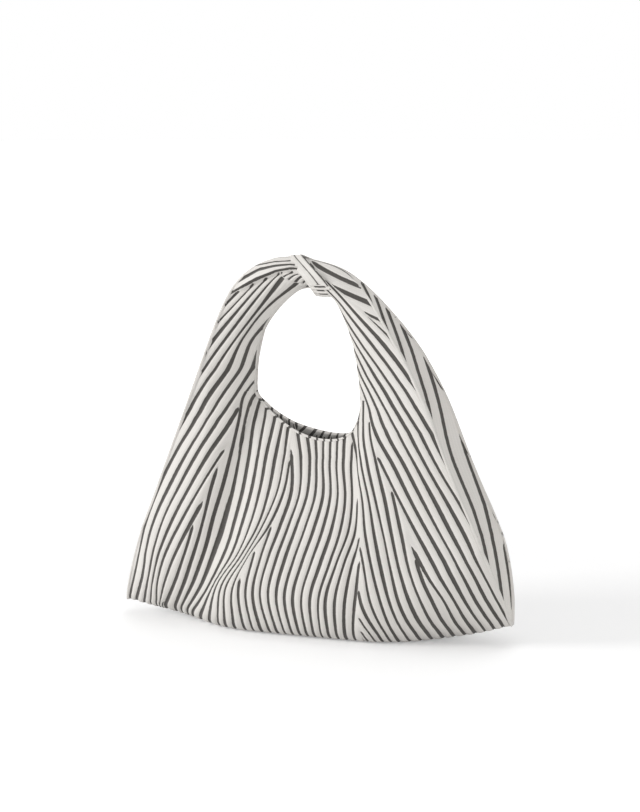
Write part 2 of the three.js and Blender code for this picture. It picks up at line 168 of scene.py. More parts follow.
def along(points, place):
    """Smooth curve through evenly counted points, read off at places counted in points."""
    p = np.asarray(points, float)
    place = np.asarray(place, float)
    last = len(p) - 1
    ends = np.vstack([2 * p[0] - p[1], p, 2 * p[last] - p[last - 1]])
    i = np.clip(np.floor(place).astype(int), 0, last - 1)
    t = (place - i)[..., None]
    a, b, c, d = ends[i], ends[i + 1], ends[i + 2], ends[i + 3]
    leave, arrive, step = (c - a) / 2, (d - b) / 2, c - b
    return b + t * (leave + t * (3 * step - 2 * leave - arrive + t * (leave + arrive - 2 * step)))


def listed(at, places, results):
    """Results listed in mm at places in mm, read off at any place along straight lines."""
    order = np.argsort(places)
    return np.interp(at, np.array(places)[order] * MM, np.array(results)[order] * MM)


def hem_line(s):
    """Hem from the left to the right end of the mouth, from shares of its width and drop."""
    shares = [(0, 1), (0.17, 0.56), (0.38, 0.2), (0.63, 0.015), (0.85, 0.06), (0.96, 0.41), (1, 1)]
    return [
        (mix(-s.mouth_left, s.mouth_right, across), mix(s.mouth_low, s.shoulder_height, up))
        for across, up in shares
    ]


def arm_edges(s, side):
    """Outer and inner edge of an arm, level with each other along it, as points of x and height.
    They are listed with the height as a share of the handle's rise over the shoulders."""
    rise = s.total_height - s.wrap_thickness - s.shoulder_height
    bend = s.bend_height / rise
    top, foot = (-14 * MM, 1.02), (16 * MM, 0.745)
    if side < 0:
        outer = [(-s.shoulder_width / 2, 0), (-98 * MM, bend), (-86 * MM, 0.6), (-74 * MM, 0.85),
                 (-49 * MM, 0.995), (-30 * MM, 1.02), top]
        inner = [(-s.mouth_left, 0), (-57 * MM, bend), (-49 * MM, 0.51), (-36 * MM, 0.645),
                 (-21 * MM, 0.765), (-5 * MM, 0.82), foot]
    else:
        outer = [(s.shoulder_width / 2, 0), (90 * MM, bend), (69 * MM, 0.572), (50 * MM, 0.79),
                 (25 * MM, 0.962), top]
        inner = [(s.mouth_right, 0), (38.5 * MM, bend), (32 * MM, 0.483), (26 * MM, 0.596),
                 (22 * MM, 0.668), foot]
    return [[(x, s.shoulder_height + share * rise) for x, share in edge] for edge in (outer, inner)]


def top_edge(s, column):
    """Top edge of a panel: x, half depth and height at columns from -1 to 1."""
    half = s.shoulder_width / 2
    start, end = -s.mouth_left / half, s.mouth_right / half
    in_mouth = (column > start) & (column < end)
    share = np.clip((column - start) / (end - start), 0, 1)
    hem = hem_line(s)
    line = along(hem, share * (len(hem) - 1))
    inside = np.where(column < 0, -start, end)
    across = np.clip((np.abs(column) - inside) / (1 - inside), 0, 1)
    lobe = np.sqrt(1 - (1 - across) ** 2)
    x = np.where(in_mouth, line[..., 0], column * half)
    z = np.where(in_mouth, line[..., 1], s.shoulder_height)
    mouth = mix(s.mouth_end_gap, s.mouth_gap, np.sin(np.pi * share)) / 2
    wing = mix(s.mouth_end_gap, s.shoulder_depth, lobe) / 2
    return x, np.where(in_mouth, mouth, wing), z


def seam_height(s, x):
    """Height of the bottom seam, which rises from the stretch that rests to both corners."""
    beyond = np.maximum(0, np.abs(x) - s.rest_length / 2) / ((s.seam_length - s.rest_length) / 2)
    return s.corner_lift * beyond**2


VALLEY_FOOT, VALLEY_TOP = -0.66, -0.47  # columns of the valley low down and at the neck
VALLEY_END = 1.85  # level under the hem at which it has run out
WING_UNDERSIDE = 1.5 * MM  # half depth of the underside out in the wings


def valley(s, column, level):
    """How far the valley lies behind the panel's smooth face."""
    middle = mix(VALLEY_FOOT, VALLEY_TOP, smooth(level, 0.2, 1.6))
    across = (column - middle) * s.seam_length / 2 / s.valley_width
    strength = np.maximum(np.sin(np.pi * np.clip(level / VALLEY_END, 0, 1)), 0) ** 1.5
    return s.valley_depth * strength * np.exp(-(across**2))


def panel_point(s, column, level):
    """Front surface. Level runs from -1 at the seam to 0 at the end of the underside, 1 at the
    fullest height and 2 at the top edge."""
    column, level = np.broadcast_arrays(np.asarray(column, float), np.asarray(level, float))
    bottom_x = column * s.seam_length / 2
    bottom_z = seam_height(s, bottom_x)
    top_x, top_half, top_z = top_edge(s, column)
    side = np.abs(column)
    full = mix(s.full_depth / 2, s.side_depth / 2, side**2.2)
    full_share = mix(s.full_height, s.side_full_height, side**2) / (top_z - bottom_z)
    rest = s.rest_length / s.seam_length
    flat = mix(s.rest_depth / 2, WING_UNDERSIDE, smooth(side, rest - 0.16, rest + 0.3))
    squareness = mix(1, 1.6, side**3)
    turn = np.clip(level, 0, 1) * np.pi / 2
    share_low = full_share * (1 - np.maximum(np.cos(turn), 0) ** squareness)
    half_low = mix(flat, full, np.sin(turn) ** squareness)
    up = np.clip(level - 1, 0, 1)
    share = np.where(level < 1, share_low, mix(full_share, 1, up))
    half = np.where(level < 1, half_low, mix(full, top_half, up**1.9))
    half = (half - valley(s, column, level)) * np.clip(level + 1, 0, 1)
    return np.stack([mix(bottom_x, top_x, share), -half, mix(bottom_z, top_z, share)], -1)


def arm_point(s, side, share, across):
    """Front surface of an arm at shares of its length, across from its inner edge to its outer
    seam. A channel, open towards the hole, turns into a tube under the wrap."""
    outer_edge, inner_edge = arm_edges(s, side)
    place = share * (len(outer_edge) - 1)
    outer, inner = along(outer_edge, place), along(inner_edge, place)
    edge = mix(s.mouth_end_gap / 2, s.knit + 0.5 * MM, smooth(place, 0, 1.1))
    seam = mix(s.shoulder_depth, s.knot_depth, share) / 2
    channel = mix(edge, seam, np.sqrt(1 - (1 - across) ** 2))
    tube = mix(edge, s.knot_depth / 2, np.sin(np.pi * across))
    depth = mix(channel, tube, smooth(share, 0.2, 0.85))
    flat = inner + (outer - inner) * across[..., None]
    return np.stack([flat[..., 0], -depth, flat[..., 1]], -1)


# Grids of points

def grid_normals(grid, facing=1):
    """Unit normals, outward where columns run right and rows run up as seen from outside."""
    n = np.cross(np.gradient(grid, axis=1), np.gradient(grid, axis=0)) * facing
    size = np.linalg.norm(n, axis=-1, keepdims=True)
    return n / np.maximum(size, 1e-12)


def soften(values, axis, width):
    """Array smoothed along an axis with bell-shaped weights, its ends kept."""
    reach = int(3 * width)
    kernel = np.exp(-0.5 * (np.arange(-reach, reach + 1) / width) ** 2)
    kernel /= kernel.sum()
    v = np.moveaxis(values, axis, 0)
    head = 2 * v[:1] - v[1 : reach + 1][::-1]
    tail = 2 * v[-1:] - v[-reach - 1 : -1][::-1]
    padded = np.concatenate([head, v, tail])
    out = sum(k * padded[i : i + len(v)] for i, k in enumerate(kernel))
    return np.moveaxis(out, 0, axis)


def cloth(name, grid, thickness, stride, keep=None, values=None, facing=1, normals=None):
    """Closed cloth: a fine outer face, a coarser inner face behind it and walls along every edge.
    keep says which cells of the grid exist, in blocks of stride."""
    rows, columns = grid.shape[:2]
    if keep is None:
        keep = np.ones((rows - 1, columns - 1), bool)
    normals = grid_normals(grid, facing) if normals is None else normals
    inner_grid = (grid - normals * thickness)[::stride, ::stride]
    inner_shape = inner_grid.shape[:2]
    coarse = keep[::stride, ::stride]
    tall, wide = coarse.shape
    fine_id = np.arange(rows * columns).reshape(rows, columns)
    inner_id = rows * columns + np.arange(math.prod(inner_shape)).reshape(inner_shape)

    def quads(ids, mask, forward):
        a, b = ids[:-1, :-1][mask], ids[:-1, 1:][mask]
        c, d = ids[1:, 1:][mask], ids[1:, :-1][mask]
        return np.stack([a, b, c, d] if forward else [a, d, c, b], -1).tolist()

    def missing(r, c):
        return r < 0 or c < 0 or r >= tall or c >= wide or not coarse[r, c]

    faces = quads(fine_id, keep, facing > 0) + quads(inner_id, coarse, facing < 0)
    for r, c in zip(*np.nonzero(coarse)):
        top, left = r * stride, c * stride
        end, right = top + stride, left + stride
        edges = [
            ((r - 1, c), fine_id[top, left : right + 1], (inner_id[r, c], inner_id[r, c + 1])),
            ((r + 1, c), fine_id[end, left : right + 1][::-1],
             (inner_id[r + 1, c + 1], inner_id[r + 1, c])),
            ((r, c - 1), fine_id[top : end + 1, left][::-1], (inner_id[r + 1, c], inner_id[r, c])),
            ((r, c + 1), fine_id[top : end + 1, right], (inner_id[r, c + 1], inner_id[r + 1, c + 1])),
        ]
        for neighbour, outer_run, behind in edges:
            if missing(*neighbour):
                loop = [*outer_run[::-1], *behind]
                faces.append(loop if facing > 0 else loop[::-1])

    points = np.concatenate([grid.reshape(-1, 3), inner_grid.reshape(-1, 3)])
    floats = {
        key: np.concatenate([v.reshape(-1), v[::stride, ::stride].reshape(-1)])
        for key, v in (values or {}).items()
    }
    return mesh_piece(name, points, faces, floats)


def mesh_piece(name, points, faces, floats):
    """Object from points and faces, its unused points left out, with float attributes."""
    used = np.unique(np.concatenate([np.asarray(f) for f in faces]))
    number = np.full(len(points), -1)
    number[used] = np.arange(len(used))
    mesh = bpy.data.meshes.new(name)
    mesh.from_pydata(points[used].tolist(), [], [[int(number[i]) for i in f] for f in faces])
    for key, v in floats.items():
        attribute = mesh.attributes.new(key, "FLOAT", "POINT")
        attribute.data.foreach_set("value", v[used].astype(np.float32))
    mesh.shade_smooth()
    mesh.update()
    piece = bpy.data.objects.new(name, mesh)
    bpy.context.collection.objects.link(piece)
    return piece


# Stripe map: four families of phases that are whole numbers in the middle of each dark groove

FAMILIES = ("middle", "half", "wing", "top")
NOWHERE = -20.0  # reach of a family where it has no stripes

# Guides: where a numbered stripe lies across at the last of LEVELS, and where the darts lie, in mm
LEVELS = (330, 300, 270, 240, 216, 195, 165, 135, 105, 75, 45, 15)
WING_LEFT = {
    0: (52, 12, -20, -38, -50, -54, -71, -87, -103, -119, -133, -145),
    1: (42, 2, -32, -44, -58, -62, -79, -96, -113, -129, -141, -149),
    3: (24, -17, -48, -59, -71, -84, -101, -117, -132, -142, -151, -162),
    4: (14, -28, -55, -67, -82, -94, -111, -127, -142, -151, -158, -171),
    5: (0, -40, -63, -77, -93, -105, -123, -139, -151, -159, -168, -179),
    6: (-24, -46, -68, -88, -104, -116, -134, -148, -159, -167, -176, -186),
    7: (-30, -55, -77, -98, -114, -127, -145, -157, -167, -175, -184, -194),
    8: (-38, -63, -87, -108, -124, -137, -155, -167, -176, -183, -192, -202),
}
HALF_LEFT = {
    0: (4, -10, -14, -17, -17, -27, -46, -61, -64),
    1: (-10, -24, -25, -23, -23, -33, -49, -68, -73),
    2: (-16, -30, -30, -31, -31, -37, -53, -73, -80),
    3: (-24, -38, -38, -40, -40, -45, -57, -79, -90),
    4: (-32, -46, -47, -48, -49, -54, -63, -83, -100),
    5: (-38, -52, -56, -57, -60, -66, -73, -88, -109),
    6: (-44, -58, -63, -65, -69, -76, -86, -97, -115),
    7: (-51.5, -64.5, -67, -71, -77, -86, -94, -106, -122),
    8: (-59, -71, -74, -79, -87, -94, -103, -114, -128),
    9: (-66, -78, -81, -88, -96, -102, -111, -123, -138),
}
MIDDLE = {
    -2: (-50, -42, -33, -27, -33, -41, -48, -47),
    0: (-31, -26, -16, -10, -17, -27, -34, -31),
    2: (-12, -8, 1, 5, -2, -11, -18, -16),
    4: (5, 9, 13, 20, 15, 6, -2, -1),
    7: (28, 30, 33, 41, 40, 32, 23, 21),
    8: (36, 38, 41, 47, 47, 38, 29, 28),
    10: (44, 48, 52, 59, 59, 52, 47, 44),
}
HALF_RIGHT = {
    0: (25, 28, 37, 49, 56, 64, 70, 79),
    1: (34, 36, 48, 59, 64, 71, 79, 86),
    3: (51, 53, 61, 71, 80, 87, 94, 103),
    4: (58, 60, 70, 80, 87, 94, 103, 112),
    6: (74, 78, 87, 96, 104, 110, 121, 130),
}
WING_RIGHT = {
    1: (-40, -18, 10, 32, 48, 55, 75, 93, 109, 124, 138, 148),
    2: (-33, -8, 18, 40, 56, 65, 86, 103, 119, 134, 146, 157),
    4: (-19, 6, 33, 55, 73, 88, 107, 124, 138, 152, 163, 174),
    6: (-5, 20, 48, 75, 93, 109, 126, 144, 159, 168, 179, 188),
    8: (10, 40, 73, 99, 117, 130, 146, 163, 176, 186, 196, 204),
}
DARTS = {
    "outer_left": (-54, -67, -69, -78, -89, -101, -115, -129, -141),
    "inner_left": (-27, -24, -17, -14, -25, -43, -57, -60),
    "inner_right": (32, 36, 44, 53, 58, 60, 59, 59),
    "outer_right": (53, 62, 73, 90, 100, 112, 125, 134),
}


def at_level(places, z):
    """Places given at the last of LEVELS, followed smoothly to every height of z."""
    levels = np.array(LEVELS[-len(places) :])[::-1] * MM
    values = np.array(places)[::-1] * MM
    place = np.interp(z, levels, np.arange(len(levels)))
    place = place - 0.4 * np.tanh(np.maximum(levels[0] - z, 0) / (12 * MM))
    return along(values[:, None], place)[..., 0]


def family(x, z, guides):
    """Phase between guide stripes, carried on with the pitch of the outermost pair, and where the
    middle of the nearest stripe lies at the same height."""
    numbers = sorted(guides, key=lambda n: guides[n][3])
    lines = [at_level(guides[n], z) for n in numbers]
    gaps = range(len(numbers) - 1)
    pitches = [(lines[k + 1] - lines[k]) / (numbers[k + 1] - numbers[k]) for k in gaps]
    phases = [numbers[k] + (x - lines[k]) / pitches[k] for k in gaps]
    phase, pitch = phases[0], pitches[0]
    for k in gaps[1:]:
        phase = np.where(x > lines[k], phases[k], phase)
        pitch = np.where(x > lines[k], pitches[k], pitch)
    return phase, x - (phase - np.round(phase)) * pitch


def stripe_map(x, z):
    """Phase of each family at material places x and z, and its reach: how many millimetres the
    middle of the nearest stripe lies inside the field of the family."""
    left = x < 10 * MM

    def outside(dart, place):
        on_left, on_right = at_level(DARTS[dart + "_left"], z), at_level(DARTS[dart + "_right"], z)
        return np.where(left, on_left - place, place - on_right) / MM

    def either(on_left, on_right):
        return [np.where(left, a, b) for a, b in zip(family(x, z, on_left), family(x, z, on_right))]

    middle, middle_line = family(x, z, MIDDLE)
    half, half_line = either(HALF_LEFT, HALF_RIGHT)
    wing, wing_line = either(WING_LEFT, WING_RIGHT)
    return plain_values(
        x.shape, phase_middle=middle, reach_middle=-outside("inner", middle_line),
        phase_half=half, reach_half=np.minimum(outside("inner", half_line), -outside("outer", half_line)),
        phase_wing=wing, reach_wing=outside("outer", wing_line),
    )


def plain_values(shape, **known):
    """Values of a piece of cloth on which only some families have stripes."""
    values = {"phase_" + name: np.zeros(shape) for name in FAMILIES}
    values.update({"reach_" + name: np.full(shape, NOWHERE) for name in FAMILIES})
    values.update({key: np.array(np.broadcast_to(value, shape)) for key, value in known.items()})
    return values


def stripe_number(values):
    """Number of the stripe nearest to each place."""
    nearest = np.full(values["phase_middle"].shape, 9.0)
    number = np.zeros(nearest.shape)
    for name in FAMILIES:
        phase = values["phase_" + name]
        off = np.abs(phase - np.round(phase)) + (values["reach_" + name] <= 0)
        number = np.where(off < nearest, np.round(phase), number)
        nearest = np.minimum(nearest, off)
    return number


def rib_profile(values):
    """Height of the rib, 0 in a groove and 1 on its crown."""
    low = 0.6 * values["groove"]
    height = np.ones(low.shape)
    for name in FAMILIES:
        phase = values["phase_" + name]
        off = np.abs(phase - np.round(phase))
        crown = np.sqrt(1 - (1 - np.clip((off - low) / (0.5 - low), 0, 1)) ** 2)
        height = np.minimum(height, mix(1, crown, smooth(values["reach_" + name], -1.2, 1.2)))
    return height


# Folds in mm: heights, places across and relief there, and how wide the fold is left and right
# of its line

FRONT_FOLDS = [
    ((165, 135, 105, 60, 20), (-24, -34, -46, -68, -80), (0, 2, 3, 3, 1), 16, 24),
    ((190, 165, 130, 90, 50), (-56, -60, -66, -78, -94), (0, -3.5, -5, -4, 0), 19, 13),
    ((190, 165, 130, 90, 50), (-84, -91, -99, -113, -128), (0, 1.5, 2, 2, 0), 14, 12),
    ((186, 168, 140), (12, 12, 10), (0, -4, 0), 34, 30),
    ((198, 180, 105, 60, 12), (40, 43, 52, 55, 52), (0, -2, -3.5, -3, -1.5), 9, 4),
    ((198, 180, 105, 60, 12), (48, 51, 62, 65, 63), (0, 1.5, 2, 2, 1), 5, 14),
    ((200, 150, 90, 40), (-96, -116, -140, -154), (0, 2, 3, 1), 14, 14),
]
BACK_FOLDS = [
    ((200, 150, 105, 60, 20), (64, 72, 84, 100, 112), (-1, -3, -4, -4, -1), 18, 20),
    ((200, 150, 90, 40), (94, 112, 128, 140), (0, 2, 3, 1), 14, 14),
]


def fold(x, z, heights, places, reliefs, left, right):
    """Relief of one fold, run out above and below its ends."""
    centre, relief = listed(z, heights, places), listed(z, heights, reliefs)
    foot, head = min(heights) * MM, max(heights) * MM
    fade = smooth(z, foot - 25 * MM, foot) * (1 - smooth(z, head, head + 20 * MM))
    width = np.where(x < centre, left, right) * MM
    return relief * fade * np.exp(-(((x - centre) / width) ** 2))


def leaning(x, z):
    """How far the right side seam leans out beyond the plain shape."""
    lip = listed(z, (20, 75, 216, 256, 290, 317), (185, 165, 112, 90, 69, 50))
    out = listed(z, (15, 42, 84, 120, 171, 211, 261, 283, 305, 325), (0, 3, 5, 6, 5, 4.5, 5, 4, 2, 0))
    return smooth(x - lip, -60 * MM, 0) * out


def settled(s, points, face):
    """The bag as it stands: left corner sunk to the floor, right side bulging outwards and the
    mouth drooping, its hems drawn together."""
    x, z = points[..., 0], points[..., 2]
    sunk = smooth(-x, 90 * MM, 185 * MM) * (1 - smooth(z, 30 * MM, 130 * MM))
    bulge = smooth(x, 70 * MM, 150 * MM) * np.exp(-(((z - 75 * MM) / (55 * MM)) ** 2))
    drawn = smooth(z, 120 * MM, 200 * MM) * (1 - smooth(z, 225 * MM, 265 * MM))
    closed = listed(x, (-95, -60, -25, -4, 22, 46), (0, 6, 6, 5, 3, 0))
    middle = np.exp(-(((x + 3 * MM) / (26 * MM)) ** 2))
    droop = mix(2 * MM, s.mouth_droop if face == FRONT else 0.5 * MM, middle)
    across_mouth = smooth(x, -70 * MM, -40 * MM) * (1 - smooth(x, 20 * MM, 44 * MM))
    hem_stop = -2.7 * MM  # the two hems don't cross the middle
    out = points.copy()
    out[..., 0] += s.side_bulge * bulge - 5 * MM * sunk + leaning(x, z)
    out[..., 1] = np.minimum(out[..., 1] + closed * drawn, np.maximum(out[..., 1], hem_stop))
    out[..., 2] -= s.corner_sink * sunk * np.clip(z / (20 * MM), 0, 1) + droop * across_mouth * drawn
    return out


class Shell:
    """Grid of a shell: body rows from the seam up, then the rows of both arms."""

    LEFT_CELLS, MOUTH_CELLS, RIGHT_CELLS = 69, 132, 84
    UNDER_ROWS, TURN_ROWS, UP_ROWS, ARM_ROWS = 12, 36, 96, 84
    CROWDING = 1.25  # how closely the columns crowd at the inner edge of an arm

    def __init__(self, s, face):
        self.s, self.face = s, face
        self.facing = 1 if face == FRONT else -1
        self.full_row = self.UNDER_ROWS + self.TURN_ROWS
        self.left = slice(0, self.LEFT_CELLS + 1)
        self.right = slice(self.LEFT_CELLS + self.MOUTH_CELLS, None)
        self.arms = ((-1, self.left), (1, self.right))
        self.lay_columns()
        self.lay_grid()
        self.map_stripes()
        self.shape_surface()

    def lay_columns(self):
        """Columns from -1 to 1, how far across its arm each lies, and levels from -1 to 2."""
        half = self.s.shoulder_width / 2
        start, end = -self.s.mouth_left / half, self.s.mouth_right / half
        across_left = ((np.arange(self.LEFT_CELLS + 1) / self.LEFT_CELLS) ** self.CROWDING)[::-1]
        across_right = (np.arange(self.RIGHT_CELLS + 1) / self.RIGHT_CELLS) ** self.CROWDING
        self.across = {-1: across_left, 1: across_right}
        self.columns = np.concatenate([
            mix(start, -1, across_left),
            mix(start, end, np.arange(1, self.MOUTH_CELLS) / self.MOUTH_CELLS),
            mix(end, 1, across_right),
        ])
        self.levels = np.concatenate([
            np.arange(self.UNDER_ROWS) / self.UNDER_ROWS - 1,
            np.arange(self.TURN_ROWS) / self.TURN_ROWS,
            1 + np.arange(self.UP_ROWS + 1) / self.UP_ROWS,
        ])
        self.rows = len(self.levels)

    def lay_grid(self):
        """Points of the body, its crease under the mouth's ends rounded, and of both arms, which
        run out of the body without a break."""
        rows, columns = self.rows, len(self.columns)
        body = panel_point(self.s, self.columns[None, :], self.levels[:, None])
        row = np.arange(rows)
        rounding = smooth(row, self.full_row - 20, self.full_row + 10)
        rounding = rounding * (1 - smooth(row, rows - 28, rows - 4))
        grid = np.zeros((rows + self.ARM_ROWS, columns, 3))
        grid[:rows] = mix(body, soften(body, 1, 6), rounding[:, None, None])
        step = grid[rows - 1] - grid[rows - 2]
        grid[rows:] = grid[rows - 1] + step * np.arange(1, self.ARM_ROWS + 1)[:, None, None]
        shares = np.arange(1, self.ARM_ROWS + 1)[:, None] / self.ARM_ROWS
        for side, part in self.arms:
            grid[rows:, part] = arm_point(self.s, side, shares, self.across[side][None, :])
            loose = soften(grid[self.full_row :, part], 0, 7)
            blend = smooth(np.arange(len(loose)), 0, 20)[:, None, None]
            grid[self.full_row :, part] = mix(grid[self.full_row :, part], loose, blend)
        self.grid = grid
        self.keep = np.ones((len(grid) - 1, columns - 1), bool)
        self.keep[rows - 1 :, self.LEFT_CELLS : self.LEFT_CELLS + self.MOUTH_CELLS] = False

    def normals_of(self, grid):
        """Normals of the body and, each on its own, of the two arms."""
        normals = grid_normals(grid)
        for _, part in self.arms:
            normals[self.rows :, part] = grid_normals(grid[:, part])[self.rows :]
        return normals

    def map_stripes(self):
        """Stripe attributes: material heights are paced out below the fullest level."""
        grid, rows, full_row = self.grid, self.rows, self.full_row
        climbed = path_length(grid, 0)
        x, z = grid[..., 0], grid[..., 2].copy()
        z[:full_row] = grid[full_row, :, 2] - (climbed[full_row] - climbed[:full_row])
        self.x, self.z = x, z
        values = stripe_map(x + leaning(x, z), z)
        values["along"] = climbed / MM
        for side, part in self.arms:
            arm = grid[rows - 1 :, part]
            above, top = left_crease(arm) if side < 0 else right_crease(arm)
            inside, twisted = twist(arm) if side < 0 else (np.full(above.shape, -1.0), 0 * above)
            values["phase_top"][rows - 1 :, part] = top
            values["reach_top"][rows:, part] = above[1:]
            values["reach_middle"][rows:, part] = NOWHERE
            values["phase_half"][rows:, part] = twisted[1:]
            values["reach_half"][rows:, part] = np.minimum(10 * inside, -above)[1:]
            values["reach_wing"][rows:, part] = np.minimum(-10 * inside, -above)[1:]
        self.values = values

    def fold_relief(self):
        """Relief of the folds, run out towards the bottom seam."""
        folds = FRONT_FOLDS if self.face == FRONT else BACK_FOLDS
        relief = sum(fold(self.x, self.z, *f) for f in folds)
        run_out = smooth(np.arange(len(self.grid)), self.UNDER_ROWS - 4, self.UNDER_ROWS + 20)
        return relief * run_out[:, None]

    def groove_widths(self, relief):
        """Half width of the grooves as a share of their pitch: uneven, and wider and more even
        where the cloth lies sunk, so that the dark grooves paint shade into the valleys."""
        stripe = stripe_number(self.values)
        vary = np.sin(2.4 * stripe + self.z / (26 * MM)) * np.sin(1.1 * stripe - self.z / (60 * MM))
        sunk_by = valley(self.s, self.columns[None, :], self.levels[:, None])
        raised = relief - np.pad(sunk_by, ((0, self.ARM_ROWS), (0, 0)))
        calm = np.exp(-np.maximum(-raised, 0) / (6 * MM))
        # painted shade: the dark grooves are drawn wider where the cloth lies sunk
        groove = np.clip(0.175 + 0.05 * vary * calm - 0.004 * raised / MM, 0.06, 0.23)
        # on the left arm's pleat the first two grooves are wide: the one on the crease line is painted
        # shadow under the fold
        pleated = smooth(self.values["reach_top"], -1, 0) * (self.x < 0)
        return mix(groove, np.where(self.values["phase_top"] > 1.5, 0.13, 0.24), pleated)

    def arm_pleat(self):
        """Relief of the pleat across the left arm, run out at both edges and under the wrap."""
        above = self.values["reach_top"][self.rows :, self.left]
        pleat = 3.0 * smooth(above, -1, 2) * np.exp(-np.maximum(above, 0) / 14)
        pleat = pleat - 3.5 * smooth(-above, -1, 1) * np.exp(-np.maximum(-above, 0) / 10)
        across = self.across[-1]
        inward = smooth(1 - across, 0.02, 0.3) * smooth(across, 0.05, 0.3)
        near_wrap = 1 - smooth(np.arange(1, self.ARM_ROWS + 1) / self.ARM_ROWS, 0.86, 0.97)
        return pleat * inward[None, :] * near_wrap[:, None] * MM

    def shape_surface(self):
        """The surface with its folds, loose, and the same with its ribs, dressed."""
        grid, values = self.grid, self.values
        from_rim = np.minimum(np.arange(grid.shape[1]), np.arange(grid.shape[1])[::-1])
        relief = self.fold_relief()
        values["groove"] = self.groove_widths(relief) * smooth(from_rim, 0, 1.5)[None, :]
        relief[self.rows :, self.left] += self.arm_pleat()
        folded = grid + self.normals_of(grid) * relief[..., None]
        self.loose = settled(self.s, folded, self.face)
        self.normals = self.normals_of(self.loose)
        ribs = (rib_profile(values) - 1) * self.s.rib_height * smooth(from_rim, -1, 6)[None, :]
        self.dressed = self.loose + self.normals * ribs[..., None]
        self.dressed[..., 2] = np.maximum(self.dressed[..., 2], 0)

    def on_face(self, points):
        """Points or directions of the front, as they lie on this face."""
        return points if self.face == FRONT else points * np.array([1, -1, 1])

    def build(self):
        """The shell as a piece of closed cloth."""
        name = "front_shell" if self.face == FRONT else "back_shell"
        points, normals = self.on_face(self.dressed), self.on_face(self.normals)
        return cloth(name, points, self.s.knit, 3, self.keep, self.values, self.facing, normals)


def path_length(grid, axis):
    """Distance run over a grid along one of its axes, from its first points."""
    steps = np.linalg.norm(np.diff(grid, axis=axis), axis=-1)
    zero = np.zeros_like(np.take(steps, [0], axis))
    return np.concatenate([zero, np.cumsum(steps, axis)], axis)


def left_crease(grid):
    """Pleat across the left arm: height above it and the phase of the three ribs along it. The wide
    groove on the crease line is painted shadow under the fold.
    """
    x, z = grid[..., 0] / MM, grid[..., 2] / MM
    crease = np.interp(x, [-80, -72, -52, -32, -20, -8], [306, 310, 320.5, 329.5, 332, 333])
    second = np.interp(x, [-80, -50, -36, -19, -8], [315, 332, 334.5, 336, 337])
    third = np.interp(x, [-80, -55, -38, -21, -8], [320.5, 334.5, 338.5, 340, 340.5])
    phase = np.where(z < second, (z - crease - 0.6) / (second - crease - 0.6),
                     1 + (z - second) / (third - second))
    return (z - crease) * 0.89, phase


def twist(grid):
    """Small field of short slanting ribs where the left arm is twisted under the wrap."""
    x, z = grid[..., 0] / MM + 17, grid[..., 2] / MM - 326
    u, v = 0.94 * x - 0.34 * z, 0.34 * x + 0.94 * z
    return 1 - np.hypot(u / 13, v / 5.5), (0.8 * x - z) / 6.4


def right_crease(grid):
    """Where the ribs of the right arm turn flatter, and their phase."""
    above = 0.79 * (grid[..., 2] / MM - 321) + 0.62 * (grid[..., 0] / MM - 20)
    return above, (grid[..., 2] / MM + 0.42 * grid[..., 0] / MM - 318.5) / 9.7


GUSSET_LEVELS = np.array([14, 42, 84, 126, 171, 211, 239, 261, 283, 300, 330])
GUSSET_RIBS = np.array([  # first rib in from the lip, and from rib to rib
    [10, 13.5, 13, 5.8, 2.8, 0, -6.9, -11, -15.7, -23, -45],
    [10, 11, 10.5, 13.8, 16, 11.8, 12.7, 11, 9, 8, 8],
])


def gusset_strip(s, side, shell):
    """Side strip from corner to wrap, folded inwards along its middle."""
    first, cells = 13, 36  # row of the shell at its foot, and cells across
    lip_column, inner_column = (0, shell.left.stop - 1) if side < 0 else (-1, shell.right.start)
    lip, inner = shell.loose[first:, lip_column], shell.loose[first:, inner_column]
    body_rows = shell.rows - first
    arm_share = np.clip((np.arange(len(lip)) - body_rows + 1) / shell.ARM_ROWS, 0, 1)
    depth = -lip[:, 1]
    fold_depth = mix(s.gusset_fold, 8 * MM, arm_share) * np.minimum(1, 2 * depth / s.side_depth)
    inward = inner - lip
    inward[:, 1] = 0
    inward[:body_rows] = [-side, 0, 0]
    inward = unit(soften(inward, 0, 6))
    q = np.linspace(-1, 1, cells + 1)  # from the front lip to the back lip
    sag = (1 - np.abs(q)) ** 0.9
    points = lip[:, None, :] + inward[:, None, :] * (sag[None, :] * fold_depth[:, None])[..., None]
    points[..., 1] = depth[:, None] * q[None, :]
    from_lip = (1 - np.abs(q))[None, :] * np.hypot(fold_depth, depth)[:, None]
    place = np.interp(lip[:, 2], GUSSET_LEVELS * MM, np.arange(len(GUSSET_LEVELS)))
    first_rib, pitch = soften(along(GUSSET_RIBS.T * MM, place), 0, 5).T[..., None]
    phase = (from_lip - first_rib) / pitch
    nearest = first_rib + np.round(phase) * pitch
    values = plain_values(
        phase.shape, phase_middle=phase, reach_middle=nearest / MM - 1.2,
        along=path_length(points, 0) / MM, groove=np.clip(1.85 * MM / pitch, 0.1, 0.22),
    )
    normals = grid_normals(points, side)
    from_rim = np.minimum(np.arange(cells + 1), np.arange(cells + 1)[::-1])
    ribs = (rib_profile(values) - 1) * s.rib_height * 0.8 * smooth(from_rim, -1, 5)[None, :]
    values["groove"] = values["groove"] * smooth(from_rim, 0, 2)[None, :]
    points = points + normals * ribs[..., None]
    used = (len(points) - 1) // 3 * 3 + 1
    values = {k: v[:used] for k, v in values.items()}
    name = "left_gusset_strip" if side < 0 else "right_gusset_strip"
    return cloth(name, points[:used], s.knit, 3, None, values, side, normals[:used])


def unit(v):
    """Vectors of the same directions and of length 1."""
    return v / np.maximum(np.linalg.norm(v, axis=-1, keepdims=True), 1e-12)


